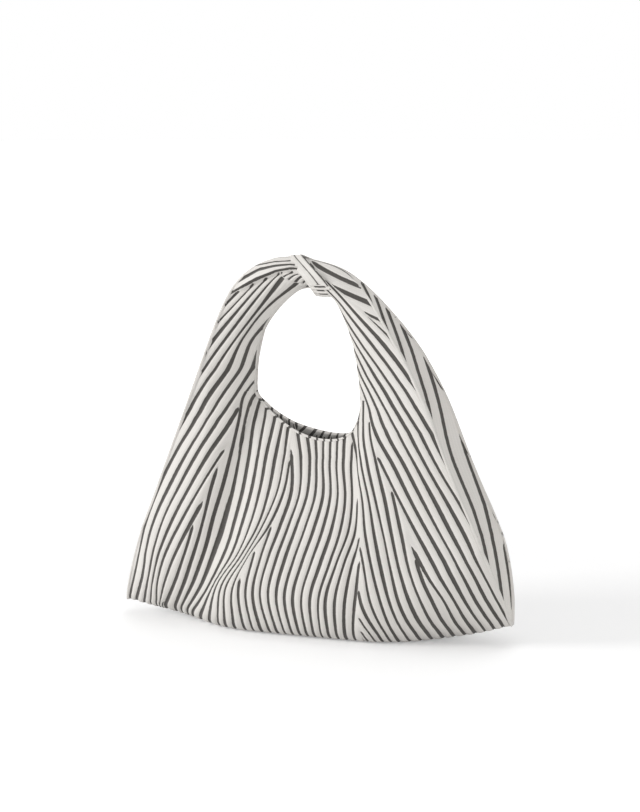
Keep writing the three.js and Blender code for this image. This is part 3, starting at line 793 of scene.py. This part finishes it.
def mouth_hem(s, shell):
    """Turned edge round the hole: down the left arm, along the mouth and up the right arm."""
    rows, c_left, c_right = shell.rows, shell.left.stop - 1, shell.right.start
    total, back = len(shell.grid), 4  # back is how many cells inside the edge the cloth is read
    run = [(r, c_left, r, c_left - back) for r in range(total - 1, rows - 1, -1)]
    run += [(rows - 1, c, rows - 1 - back, c) for c in range(c_left, c_right + 1)]
    run += [(r, c_right, r, c_right + back) for r in range(rows, total)]
    r_id, c_id, r_in, c_in = np.array(run).T
    edge = soften(shell.loose[r_id, c_id], 0, 1.5)
    tangent = unit(np.gradient(edge, axis=0))
    beyond = edge - shell.loose[r_in, c_in]
    beyond = beyond - tangent * (beyond * tangent).sum(1, keepdims=True)
    beyond = unit(soften(unit(beyond), 0, 4))
    out = np.cross(tangent, beyond)
    out = unit(out * np.sign((out * shell.normals[r_id, c_id]).sum(1, keepdims=True)))
    radius, lap = s.hem_roll, 0.3 * MM
    section = [(0.05 * MM, -1.2 * MM), (0.25 * MM, -0.5 * MM)]
    bend = np.linspace(0, np.pi, 11)
    section += [(lap + radius * (math.cos(t) - 1), radius * math.sin(t)) for t in bend]
    turned = np.linspace(0, s.hem_height, 6)[1:]
    section += [(lap - 2 * radius, -d) for d in turned]
    grid = np.stack([edge + out * a + beyond * b for a, b in section], 0)
    on_mouth = (r_id < rows).astype(float)[:, None]
    on_arm = 1 - soften(on_mouth, 0, 6)
    for line, deep in zip(grid[-len(turned) :], turned):  # on the arms the strip is short and bent in
        line += on_arm * (0.6 * deep * beyond - (deep * 0.4) ** 2 / (30 * MM) * out)
    spread = {key: np.repeat(v[r_in, c_in][None, :], len(section), 0) for key, v in shell.values.items()}
    steps = [0] + [math.dist(a, b) for a, b in zip(section, section[1:])]
    spread["along"] = np.repeat(np.cumsum(steps)[:, None] / MM, len(run), 1)
    in_mouth = soften(on_mouth, 0, 3)[:, 0]
    spread["groove"] = spread["groove"] * 0.8 * smooth(in_mouth, 0.3, 1)[None, :]
    for name in FAMILIES:
        spread["phase_" + name] = spread["phase_" + name] + 0.05 * spread["along"]
    surface = grid_normals(grid, 1)
    surface *= np.sign((surface * (grid - edge[None] + 3 * radius * out[None])).sum(-1, keepdims=True))
    ribs = (rib_profile(spread) - 1) * s.rib_height * 0.7
    tall = (len(section) - 1) // 2 * 2 + 1
    wide = (len(run) - 1) // 2 * 2 + 1
    grid = shell.on_face((grid + out[None] * ribs[..., None] * 0.5)[:tall, :wide])
    surface = shell.on_face(surface[:tall, :wide])
    spread = {k: v[:tall, :wide] for k, v in spread.items()}
    name = "front_hem_turn" if shell.face == FRONT else "back_hem_turn"
    piece = cloth(name, grid, 0.9 * MM, 2, None, spread, shell.facing, surface)
    fix_normals(piece)
    return piece


def lining_grid(s, shell):
    """Inner face of the body where the lining hangs, drawn to a seam at both sides."""
    reach = 0.74  # column of its side seams
    inside = np.nonzero(np.abs(shell.columns) <= reach)[0][::2]
    rows = np.arange(0, shell.rows - 8, 2)
    pick = np.ix_(rows, inside)
    offset = s.knit + 1.5 * MM
    grid = shell.loose[pick] - shell.normals[pick] * offset
    across = np.abs(shell.columns[inside]) / reach
    drawn = np.sqrt(np.clip(1.005 - across**10, 0, 1))
    grid[..., 1] = np.minimum(grid[..., 1], -0.3 * MM) * drawn[None, :]
    grid[..., 2] = np.maximum(grid[..., 2], offset)
    return grid, shell.columns[inside]


def knot_wrap(s):
    """Gathered band that goes slanting round the meeting of the arms. A turn starts at the top,
    comes down the front and reaches the pleated tip under the handle half way."""
    steps, ring = 32, 240
    share = np.linspace(0, 1, steps + 1)[:, None]
    turn = np.linspace(0, 2 * np.pi, ring + 1)[None, :-1]
    roof = s.total_height - 0.8 * MM
    left_top, left_tip = np.array((-27 * MM, roof - 1.0 * MM)), np.array((0, 308 * MM))
    right_top, right_tip = np.array((-12 * MM, roof)), np.array((21 * MM, 309 * MM))
    top = mix(left_top, right_top, share[..., None])
    tip = mix(left_tip, right_tip, share[..., None])
    crown = 1.3 * MM * np.sin(np.pi * share) ** 0.6
    lip = 1.2 * MM * smooth(share, 0.62, 0.93) * (1 - smooth(share, 0.97, 1.0))
    bars = (-np.cos(turn) - 0.40) / 0.2  # number of each pleat, from the front's middle to the tip; its dark bars are painted shade in the pleats' hollows
    gather = smooth(-np.cos(turn), 0.2, 0.36)
    pleat = -1.2 * MM * gather * np.cos(2 * np.pi * bars) * smooth(share, 0, 0.2)
    grow = crown + lip + pleat
    width = np.linalg.norm(top - tip, axis=-1)
    long, deep = width / 2 + grow, s.knot_depth / 2 + 0.8 * MM + grow
    flat = (top + tip) / 2 + (top - tip) / width[..., None] * (long * np.cos(turn))[..., None]
    rim = 3 * MM
    edge = rim + 11 * MM * gather
    lens = np.sin(np.pi * (1 - np.cos(turn)) / 2) * np.sign(np.sin(turn))
    y = -(edge * np.sin(turn) + (deep - edge) * lens)
    out = np.hypot(y, rim) - rim
    x = flat[..., 0] + out * (0.5 + 0.12 * np.sin(np.pi * share))  # both faces lean to the right
    grid = np.stack([x, y, flat[..., 1]], -1)
    along_band = np.broadcast_to(share, x.shape)
    gathered = np.minimum(40 * (gather - 0.5), 30 * (along_band - 0.2))
    return grid, plain_values(
        x.shape, phase_middle=along_band * 1.3 + 0.42, reach_middle=-gathered,
        # painted shade: the half family's dark bars lie in the hollows of the gathered pleats
        phase_half=bars, reach_half=gathered, groove=np.where(gathered > 0, 0.2, 0.05),
        # painted shadow: the wing family, its phase left at 0, lays a solid dark strip along the right
        # edge of the wrap's front, under its raised lip
        reach_wing=np.minimum(20 * (along_band - 0.87), 8 * np.sin(turn) - 1),
        along=path_length(grid, 1) / MM,
    )


def ring_cloth(name, grid, thickness, values):
    """Closed band from rings of points, an outer and an inner face joined at both rims."""
    rows, columns = grid.shape[:2]
    wrapped = np.concatenate([grid[:, -1:], grid, grid[:, :1]], 1)
    normals = grid_normals(wrapped)[:, 1:-1]
    centre = grid.mean(1, keepdims=True)
    normals *= np.sign(((grid - centre) * normals).sum(-1, keepdims=True))
    inner = grid - normals * thickness
    points = np.concatenate([grid.reshape(-1, 3), inner.reshape(-1, 3)])
    ids = np.arange(2 * rows * columns).reshape(2, rows, columns)
    out, back = ids[0], ids[1]
    following = np.roll(np.arange(columns), -1)
    faces = []
    for r in range(rows - 1):
        for c in range(columns):
            d = following[c]
            faces.append([out[r, c], out[r, d], out[r + 1, d], out[r + 1, c]])
            faces.append([back[r, c], back[r + 1, c], back[r + 1, d], back[r, d]])
    for c in range(columns):
        d = following[c]
        faces.append([out[0, d], out[0, c], back[0, c], back[0, d]])
        faces.append([out[-1, c], out[-1, d], back[-1, d], back[-1, c]])
    floats = {k: np.concatenate([v.reshape(-1), v.reshape(-1)]) for k, v in values.items()}
    piece = mesh_piece(name, points, faces, floats)
    fix_normals(piece)
    return piece


def fix_normals(piece):
    """Turn all faces of a closed piece outwards."""
    deselect()
    piece.select_set(True)
    bpy.context.view_layer.objects.active = piece
    bpy.ops.object.mode_set(mode="EDIT")
    bpy.ops.mesh.select_all(action="SELECT")
    bpy.ops.mesh.normals_make_consistent(inside=False)
    bpy.ops.object.mode_set(mode="OBJECT")


def deselect():
    if bpy.context.mode != "OBJECT":
        bpy.ops.object.mode_set(mode="OBJECT")
    bpy.ops.object.select_all(action="DESELECT")


# Materials

class Nodes:
    """Short helper for building a node tree."""

    def __init__(self, tree):
        self.tree = tree

    def add(self, kind, **values):
        node = self.tree.nodes.new(kind)
        for key, value in values.items():
            setattr(node, key, value)
        return node

    def link(self, a, b):
        self.tree.links.new(a, b)

    def put(self, socket, value):
        if isinstance(value, bpy.types.NodeSocket):
            self.link(value, socket)
        else:
            socket.default_value = value

    def math(self, operation, a, b=0.0):
        node = self.add("ShaderNodeMath", operation=operation)
        self.put(node.inputs[0], a)
        self.put(node.inputs[1], b)
        return node.outputs[0]

    def attribute(self, name):
        return self.add("ShaderNodeAttribute", attribute_name=name).outputs["Fac"]

    def mix_float(self, factor, a, b):
        node = self.add("ShaderNodeMix", data_type="FLOAT")
        self.put(node.inputs[0], factor)
        self.put(node.inputs[2], a)
        self.put(node.inputs[3], b)
        return node.outputs[0]

    def mix_colour(self, factor, a, b):
        node = self.add("ShaderNodeMix", data_type="RGBA")
        self.put(node.inputs[0], factor)
        self.put(node.inputs[6], a)
        self.put(node.inputs[7], b)
        return node.outputs[2]

    def ramp(self, value, low, high):
        node = self.add("ShaderNodeMapRange", interpolation_type="SMOOTHSTEP")
        self.put(node.inputs["Value"], value)
        self.put(node.inputs["From Min"], low)
        self.put(node.inputs["From Max"], high)
        return node.outputs["Result"]

    def noise(self, vector, scale, detail=2.0):
        node = self.add("ShaderNodeTexNoise")
        self.link(vector, node.inputs["Vector"])
        node.inputs["Scale"].default_value = scale
        node.inputs["Detail"].default_value = detail
        return node.outputs["Fac"]

    def bump(self, shader, height, strength, distance):
        node = self.add("ShaderNodeBump")
        node.inputs["Strength"].default_value = strength
        node.inputs["Distance"].default_value = distance
        self.link(height, node.inputs["Height"])
        self.link(node.outputs[0], shader.inputs["Normal"])


def rgba(value):
    return (value[0], value[1], value[2], 1.0)


def material(name):
    """New material with its surface shader, and a helper for its nodes."""
    m = bpy.data.materials.new(name)
    m.use_nodes = True
    m.node_tree.nodes.clear()
    n = Nodes(m.node_tree)
    output = n.add("ShaderNodeOutputMaterial")
    shader = n.add("ShaderNodeBsdfPrincipled")
    n.link(shader.outputs[0], output.inputs[0])
    return m, n, shader


def group(name, inputs, outputs):
    """New shader node group with named inputs and outputs, and a helper for its nodes."""
    tree = bpy.data.node_groups.new(name, "ShaderNodeTree")
    for label, kind, value in inputs:
        socket = tree.interface.new_socket(name=label, in_out="INPUT", socket_type=kind)
        socket.default_value = value
    for label, kind in outputs:
        tree.interface.new_socket(name=label, in_out="OUTPUT", socket_type=kind)
    n = Nodes(tree)
    return tree, n, n.add("NodeGroupInput"), n.add("NodeGroupOutput")


def stripe_group():
    """Stripes and stitches of the rib knit, from the phases kept on the cloth, with painted shade between
    the stitches.
    """
    tree, n, inside, outside = group(
        "Rib knit",
        [("Rib", "NodeSocketColor", (0.8, 0.8, 0.8, 1)),
         ("Groove", "NodeSocketColor", (0.05, 0.05, 0.05, 1))],
        [("Color", "NodeSocketColor"), ("Roughness", "NodeSocketFloat"), ("Height", "NodeSocketFloat")],
    )
    duller = (0.72, 0.69, 0.655, 1)  # patches of the ribs
    painted_stitch_shade = (0.35, 0.33, 0.31, 1)  # painted shade between the stitches of a rib
    fluff = (0.13, 0.122, 0.115, 1)  # on the dark stripes
    place = n.add("ShaderNodeTexCoord").outputs["Object"]
    run = n.attribute("along")
    course, wales = 1.5, 5.0  # height of a row of stitches in mm, and columns of stitches in a rib
    jag_vector = n.add("ShaderNodeCombineXYZ")
    n.link(n.math("SNAP", run, course), jag_vector.inputs[0])
    jag = n.math("SUBTRACT", n.noise(jag_vector.outputs[0], 0.9, 0), 0.5)
    ragged = n.math("MULTIPLY", jag, 0.5)
    phase = apart = None
    for name in FAMILIES:
        own = n.attribute("phase_" + name)
        there = n.ramp(n.math("ADD", n.attribute("reach_" + name), ragged), -2.0, 1.0)
        off = n.math("ABSOLUTE", n.math("SUBTRACT", own, n.math("ROUND", own)))
        off = n.math("ADD", off, n.math("SUBTRACT", 1.0, there))
        apart = off if apart is None else n.math("MINIMUM", apart, off)
        phase = own if phase is None else n.mix_float(there, phase, own)
    wobble = n.math("MULTIPLY", n.math("SUBTRACT", n.noise(place, 260.0), 0.5), 0.05)
    half = n.math("ADD", n.attribute("groove"), wobble)
    mask = n.ramp(apart, n.math("ADD", half, 0.02), n.math("SUBTRACT", half, 0.02))
    across = n.math("MULTIPLY", phase, wales)
    wale = n.math("ABSOLUTE", n.math("SUBTRACT", n.math("FRACT", across), 0.5))
    rows = n.math("ADD", n.math("DIVIDE", run, course), n.math("MULTIPLY", wale, 1.1))
    bead = n.math("SINE", n.math("MULTIPLY", rows, 2 * math.pi))
    column = n.math("COSINE", n.math("MULTIPLY", across, 2 * math.pi))
    stitch = n.math("ADD", n.math("MULTIPLY", bead, 0.5), n.math("MULTIPLY", column, 0.35))
    drift = n.ramp(n.noise(place, 22.0, 3), 0.35, 0.7)
    rib = n.mix_colour(n.math("MULTIPLY", drift, 0.35), inside.outputs["Rib"], duller)
    # painted shade: the rib colour is darkened where the stitches dip
    shade = n.math("MULTIPLY", n.math("SUBTRACT", 1.0, stitch), 0.11)
    rib = n.mix_colour(shade, rib, painted_stitch_shade)
    tone = n.math("MULTIPLY", n.noise(place, 500.0), 0.5)
    groove = n.mix_colour(tone, inside.outputs["Groove"], fluff)
    n.link(n.mix_colour(mask, rib, groove), outside.inputs["Color"])
    n.link(n.mix_float(mask, 0.82, 0.93), outside.inputs["Roughness"])
    crown = n.math("MULTIPLY", n.ramp(apart, 0.0, 0.35), 2.0)
    n.link(n.math("ADD", n.math("MULTIPLY", stitch, 0.35), crown), outside.inputs["Height"])
    return tree


def weave_group():
    """Plain weave of two threads on object coordinates, lighter and darker in patches."""
    tree, n, inside, outside = group(
        "Plain weave",
        [("Thread", "NodeSocketColor", (0.2, 0.2, 0.2, 1)), ("Pitch", "NodeSocketFloat", 1 * MM)],
        [("Color", "NodeSocketColor"), ("Roughness", "NodeSocketFloat"), ("Height", "NodeSocketFloat")],
    )
    place = n.add("ShaderNodeTexCoord").outputs["Object"]
    parts = n.add("ShaderNodeSeparateXYZ")
    n.link(place, parts.inputs[0])
    turn = n.math("DIVIDE", 2 * math.pi, inside.outputs["Pitch"])
    warp = n.math("SINE", n.math("MULTIPLY", parts.outputs[0], turn))
    depth = n.math("ADD", parts.outputs[2], parts.outputs[1])
    weft = n.math("SINE", n.math("MULTIPLY", depth, turn))
    weave = n.math("MULTIPLY", warp, weft)
    drift = n.noise(place, 40.0, 3)
    tone = n.math("ADD", n.math("MULTIPLY", weave, 0.2), drift)
    shaded = n.add("ShaderNodeVectorMath", operation="SCALE")
    n.link(inside.outputs["Thread"], shaded.inputs[0])
    n.link(n.mix_float(tone, 0.6, 1.25), shaded.inputs["Scale"])
    n.link(shaded.outputs[0], outside.inputs["Color"])
    n.link(n.mix_float(drift, 0.7, 0.9), outside.inputs["Roughness"])
    n.link(weave, outside.inputs["Height"])
    return tree


def knit_material(name):
    m, n, shader = material(name)
    knit = n.add("ShaderNodeGroup", node_tree=made("rib"))
    knit.inputs["Rib"].default_value = rgba(colours().rib)
    knit.inputs["Groove"].default_value = rgba(colours().groove)
    n.link(knit.outputs["Color"], shader.inputs["Base Color"])
    n.link(knit.outputs["Roughness"], shader.inputs["Roughness"])
    n.bump(shader, knit.outputs["Height"], 0.6, 0.4 * MM)
    shader.inputs["Sheen Weight"].default_value = 0.15
    shader.inputs["Sheen Roughness"].default_value = 0.5
    return m


def woven_material(name, thread, pitch, strength, stitched=False):
    """Woven cloth, with a row of stitches along its edges where it is stitched."""
    m, n, shader = material(name)
    weave = n.add("ShaderNodeGroup", node_tree=made("weave"))
    weave.inputs["Thread"].default_value = rgba(thread)
    weave.inputs["Pitch"].default_value = pitch
    colour = weave.outputs["Color"]
    if stitched:
        from_edge, stitch, stitch_share = 2.5, 3.0, 0.65  # mm, mm, and how much of it is thread
        off = n.math("ABSOLUTE", n.math("SUBTRACT", n.attribute("stitch"), from_edge))
        share = n.math("FRACT", n.math("DIVIDE", n.attribute("run"), stitch))
        dash = n.math("LESS_THAN", share, stitch_share)
        seam = n.math("MULTIPLY", n.math("LESS_THAN", off, 0.35), dash)
        colour = n.mix_colour(seam, colour, (0.5, 0.48, 0.45, 1))
    n.link(colour, shader.inputs["Base Color"])
    n.link(weave.outputs["Roughness"], shader.inputs["Roughness"])
    n.bump(shader, weave.outputs["Height"], strength, 0.15 * MM)
    return m


def metal_material():
    m, n, shader = material("satin_nickel")
    place = n.add("ShaderNodeTexCoord").outputs["Object"]
    grain = n.noise(place, 900.0, 4)
    wear = n.ramp(n.noise(place, 120.0, 3), 0.5, 0.75)
    n.link(n.mix_colour(wear, rgba(colours().metal), (0.5, 0.48, 0.45, 1)), shader.inputs["Base Color"])
    n.link(n.mix_float(grain, 0.22, 0.38), shader.inputs["Roughness"])
    shader.inputs["Metallic"].default_value = 1.0
    n.bump(shader, grain, 0.15, 0.05 * MM)
    return m


MAKERS = {
    "rib": stripe_group,
    "weave": weave_group,
    "knit": lambda: knit_material("rib_knit"),
    "lining": lambda: woven_material("lining_cloth", colours().lining, 0.9 * MM, 0.4),
    "pocket": lambda: woven_material("pocket_cloth", colours().lining, 0.9 * MM, 0.4, stitched=True),
    "tape": lambda: woven_material("seam_tape", colours().tape, 1.4 * MM, 0.8),
    "metal": metal_material,
}
MADE = {}


def made(key):
    """Material or node group of a name, made when it is first asked for."""
    if key not in MADE:
        MADE[key] = MAKERS[key]()
    return MADE[key]


def dress(piece, key):
    """Give a piece its material."""
    piece.data.materials.clear()
    piece.data.materials.append(made(key))


def finish(piece, key, node):
    """Dress a piece that rides with the body and takes the place of one node."""
    dress(piece, key)
    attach(piece, "bag")
    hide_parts(node)


def across_handle(piece):
    """Bake a piece's transform into its mesh."""
    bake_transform(piece)


SHELLS = {}


class TOTE_OT_shells(bpy.types.Operator):
    """Front and back knit shells, each a panel with the faces of both arms"""

    bl_idname = "tote.shells"
    bl_label = "Knit shells"

    def execute(self, context):
        for face in (FRONT, BACK):
            SHELLS[face] = Shell(sizes(), face)
            piece = SHELLS[face].build()
            dress(piece, "knit")
            across_handle(piece)
            if face == FRONT:
                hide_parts("front_panel", "left_arm_fold", "right_arm_fold")
            else:
                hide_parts("back_panel")
        return {"FINISHED"}


class TOTE_OT_gussets(bpy.types.Operator):
    """Side gussets from the corners up the arms, folded inwards"""

    bl_idname = "tote.gussets"
    bl_label = "Side gussets"

    def execute(self, context):
        for side, node, arm in ((-1, "left_gusset", "left_arm"), (1, "right_gusset", "right_arm")):
            piece = gusset_strip(sizes(), side, SHELLS[FRONT])
            dress(piece, "knit")
            across_handle(piece)
            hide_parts(node, arm)
        return {"FINISHED"}


class TOTE_OT_hems(bpy.types.Operator):
    """Turned edges round the mouth and the inside of the arms"""

    bl_idname = "tote.hems"
    bl_label = "Turned hems"

    def execute(self, context):
        for face, node in ((FRONT, "front_hem"), (BACK, "back_hem")):
            piece = mouth_hem(sizes(), SHELLS[face])
            dress(piece, "knit")
            across_handle(piece)
            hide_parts(node)
        return {"FINISHED"}


class TOTE_OT_wrap(bpy.types.Operator):
    """Gathered wrap at the top of the handle"""

    bl_idname = "tote.wrap"
    bl_label = "Handle wrap"

    def execute(self, context):
        grid, values = knot_wrap(sizes())
        piece = ring_cloth("handle_wrap", grid, 0.5 * MM, values)
        dress(piece, "knit")
        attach(piece, "handle")
        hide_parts("knot_wrap")
        return {"FINISHED"}


def seam_tape(s):
    """Tape that lies over the bottom seam, inside."""
    x, y = np.meshgrid(
        np.linspace(-0.5, 0.5, 81) * s.tape_length, np.linspace(-0.5, 0.5, 9) * s.tape_width
    )
    points = np.stack([x, y, seam_height(s, x) + s.knit + 1.1 * MM], -1)
    return cloth("bottom_seam_tape_cloth", points, 0.7 * MM, 1)


def slip_pocket(s, shell, grid, normals, columns):
    """Pocket that lies on the lining, open at its turned top edge."""
    height = grid[:, int(np.argmin(np.abs(columns))), 2]
    rows = np.nonzero((height > s.pocket_foot) & (height < s.pocket_mouth))[0]
    wide = np.nonzero((columns > -0.34) & (columns < 0.28))[0]
    pick = np.ix_(rows, wide)
    from_top = path_length(grid[pick], 0)
    from_top = from_top[-1] - from_top
    turned = 0.5 * MM * (1 - smooth(from_top, 9 * MM, 10.5 * MM))
    points = grid[pick] - normals[pick] * (1.6 * MM + turned)[..., None]
    across, foot = path_length(points, 1), path_length(points, 0)
    side = np.minimum(across, across[:, -1:] - across)
    from_edge = np.minimum(side, foot)
    from_edge = np.minimum(from_edge, np.abs(from_top - 8 * MM) + 2.5 * MM)
    values = {"stitch": from_edge / MM, "run": (foot + across) / MM}
    points, normals = shell.on_face(points), shell.on_face(grid_normals(points))
    return cloth("slip_pocket_cloth", points, 0.7 * MM, 1, None, values, shell.facing, normals)


class TOTE_OT_lining(bpy.types.Operator):
    """Lining of both faces, the slip pocket on the back lining and the tape of the bottom seam"""

    bl_idname = "tote.lining"
    bl_label = "Lining and pocket"

    def execute(self, context):
        s = sizes()
        for face, node in ((FRONT, "front_lining"), (BACK, "back_lining")):
            shell = SHELLS[face]
            grid, columns = lining_grid(s, shell)
            normals = grid_normals(grid)
            points, out = shell.on_face(grid), shell.on_face(normals)
            piece = cloth(node + "_cloth", points, s.lining_cloth, 1, None, {}, shell.facing, out)
            finish(piece, "lining", node)
            if face == BACK:
                finish(slip_pocket(s, shell, grid, normals, columns), "pocket", "slip_pocket")
        finish(seam_tape(s), "tape", "bottom_seam_tape")
        return {"FINISHED"}


def set_on(piece, at, axis):
    """Move a piece made about the z axis to a point, with that axis along another."""
    turn = Vector((0, 0, 1)).rotation_difference(axis).to_matrix().to_4x4()
    piece.data.transform(Matrix.Translation(at) @ turn)


def plate(name, diameter, height, at, axis):
    """Disc with a rounded rim, its back at a point."""
    deselect()
    bpy.ops.mesh.primitive_cylinder_add(vertices=64, radius=diameter / 2, depth=height)
    disc = bpy.context.active_object
    disc.name = name
    bevel = disc.modifiers.new("rim", "BEVEL")
    bevel.width = min(height * 0.4, 0.8 * MM)
    bevel.segments = 4
    bevel.limit_method = "ANGLE"
    bpy.ops.object.modifier_apply(modifier=bevel.name)
    set_on(disc, at + axis * height / 2, axis)
    return disc


def collar(diameter, thickness, at, axis):
    """Round ring whose middle line has this diameter."""
    deselect()
    bpy.ops.mesh.primitive_torus_add(
        major_radius=diameter / 2, minor_radius=thickness / 2, major_segments=64, minor_segments=16
    )
    ring = bpy.context.active_object
    set_on(ring, at, axis)
    return ring


def joined(parts):
    """Parts as one piece, smooth but for its sharp edges."""
    deselect()
    for part in parts:
        part.select_set(True)
    bpy.context.view_layer.objects.active = parts[0]
    bpy.ops.object.join()
    bpy.ops.object.shade_smooth_by_angle(angle=math.radians(35))
    return bpy.context.active_object


class TOTE_OT_snap(bpy.types.Operator):
    """Stud and socket of the snap on the linings, with their washers"""

    bl_idname = "tote.snap"
    bl_label = "Magnetic snap"

    def execute(self, context):
        s = sizes()
        for face, node, washer in (
            (FRONT, "snap_stud", "stud_washer"),
            (BACK, "snap_socket", "socket_washer"),
        ):
            shell = SHELLS[face]
            grid, columns = lining_grid(s, shell)
            column = int(np.argmin(np.abs(columns)))
            low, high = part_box(node)
            row = int(np.argmin(np.abs(grid[:, column, 2] - (low[2] + high[2]) / 2)))
            place, inward = grid[row, column], -grid_normals(grid)[row, column]
            axis = Vector(shell.on_face(inward))
            on_cloth = Vector(shell.on_face(place + inward * 0.8 * MM))
            under_cloth = Vector(shell.on_face(place - inward * 0.5 * MM))
            top = on_cloth + axis * (s.snap_plate - 0.1 * MM)
            parts = [plate(node + "_half", s.snap_diameter, s.snap_plate, on_cloth, axis)]
            if face == FRONT:
                parts.append(plate("stud", s.stud_diameter, s.stud_height, top, axis))
                head = top + axis * 1.2 * MM
                parts.append(plate("stud_head", 1.1 * s.stud_diameter, 1 * MM, head, axis))
            else:
                parts.append(collar(11.2 * MM, 2.6 * MM, top, axis))
                parts.append(collar(15.8 * MM, 1.0 * MM, top, axis))
            disc = plate(washer + "_disc", s.washer_diameter, s.washer_thickness, under_cloth, axis)
            finish(joined(parts), "metal", node)
            finish(joined([disc]), "metal", washer)
        return {"FINISHED"}


class TOTE_OT_stage(bpy.types.Operator):
    """Pale floor, soft light and the camera"""

    bl_idname = "tote.stage"
    bl_label = "Stage"

    def execute(self, context):
        make_floor()
        make_lights()
        make_camera()
        context.scene.view_settings.view_transform = "Standard"
        return {"FINISHED"}


def make_floor():
    deselect()
    bpy.ops.mesh.primitive_circle_add(vertices=96, radius=6, fill_type="NGON")
    floor = bpy.context.active_object
    floor.name = "floor"
    m, n, shader = material("pale_floor")
    shader.inputs["Base Color"].default_value = rgba(colours().floor)
    shader.inputs["Roughness"].default_value = 0.6
    shader.inputs["Specular IOR Level"].default_value = 0.2
    camera_ray = n.add("ShaderNodeLightPath").outputs["Is Camera Ray"]
    shader.inputs["Emission Color"].default_value = (1, 1, 1, 1)
    place = n.add("ShaderNodeTexCoord").outputs["Object"]
    reach = n.add("ShaderNodeVectorMath", operation="LENGTH")
    n.link(place, reach.inputs[0])
    glow = n.mix_float(n.ramp(reach.outputs["Value"], 0.35, 1.5), 0.3, 0.9)
    n.link(n.math("MULTIPLY", camera_ray, glow), shader.inputs["Emission Strength"])
    floor.data.materials.append(m)


def make_lights():
    world = bpy.data.worlds.new("studio")
    bpy.context.scene.world = world
    world.use_nodes = True
    tree = world.node_tree
    tree.nodes.clear()
    n = Nodes(tree)
    output = n.add("ShaderNodeOutputWorld")
    background = n.add("ShaderNodeBackground")
    path = n.add("ShaderNodeLightPath")
    seen = n.math("MAXIMUM", path.outputs["Is Camera Ray"], path.outputs["Is Glossy Ray"])
    seen = n.math("MAXIMUM", seen, path.outputs["Is Transmission Ray"])
    background.inputs["Color"].default_value = (1, 1, 1, 1)
    surround = 0.42  # light from all round, against 1 for what the camera sees of it
    n.link(n.mix_float(seen, surround, 1.0), background.inputs["Strength"])
    n.link(background.outputs[0], output.inputs[0])
    lamps = [
        # name, place, size, watts
        ("key_light", (-2.4, -1.4, 1.0), 0.9, 56),
        ("fill_light", (2.0, -1.7, 0.6), 1.4, 22),
        ("top_light", (0.1, 0.4, 2.4), 1.6, 14),
    ]
    for name, place, size, watts in lamps:
        data = bpy.data.lights.new(name, "AREA")
        data.energy = watts
        data.size = size
        lamp = bpy.data.objects.new(name, data)
        lamp.location = place
        aim = Vector((0, 0, 0.15)) - Vector(place)
        lamp.rotation_euler = aim.to_track_quat("-Z", "Y").to_euler()
        bpy.context.collection.objects.link(lamp)


def make_camera():
    """Long lens at the photograph's angle, for a picture of 640 by 812 pixels."""
    azimuth, elevation, distance = math.radians(20), math.radians(10), 2.4
    picture_width, pixels_per_metre = 640, 1104.0
    target = Vector((0.0034, 0.0, 0.2076))
    back = Vector((
        math.sin(azimuth) * math.cos(elevation),
        -math.cos(azimuth) * math.cos(elevation),
        math.sin(elevation),
    ))
    data = bpy.data.cameras.new("camera")
    data.sensor_fit = "HORIZONTAL"
    data.sensor_width = 36
    data.lens = data.sensor_width * distance * pixels_per_metre / picture_width
    camera = bpy.data.objects.new("camera", data)
    camera.location = target + back * distance
    camera.rotation_euler = back.to_track_quat("Z", "Y").to_euler()
    bpy.context.collection.objects.link(camera)
    bpy.context.scene.camera = camera


class TOTE_PT_panel(bpy.types.Panel):
    bl_label = "Tote Bag"
    bl_idname = "TOTE_PT_panel"
    bl_space_type = "VIEW_3D"
    bl_region_type = "UI"
    bl_category = "Tote Bag"

    def draw(self, context):
        for step in STEPS:
            self.layout.operator(step.bl_idname)
        for values in (sizes(), colours()):
            for key in values.bl_rna.properties.keys():
                if key not in ("rna_type", "name"):
                    self.layout.prop(values, key)


STEPS = (TOTE_OT_shells, TOTE_OT_gussets, TOTE_OT_hems, TOTE_OT_wrap, TOTE_OT_lining, TOTE_OT_snap,
         TOTE_OT_stage)
CLASSES = (BagSizes, BagColours) + STEPS + (TOTE_PT_panel,)


def register():
    for cls in CLASSES:
        bpy.utils.register_class(cls)
    bpy.types.Scene.bag_sizes = bpy.props.PointerProperty(type=BagSizes)
    bpy.types.Scene.bag_colours = bpy.props.PointerProperty(type=BagColours)


def unregister():
    del bpy.types.Scene.bag_sizes
    del bpy.types.Scene.bag_colours
    for cls in reversed(CLASSES):
        bpy.utils.unregister_class(cls)


def main():
    register()
    for step in STEPS:
        module, name = step.bl_idname.split(".")
        getattr(getattr(bpy.ops, module), name)()


if __name__ == "__main__":
    main()
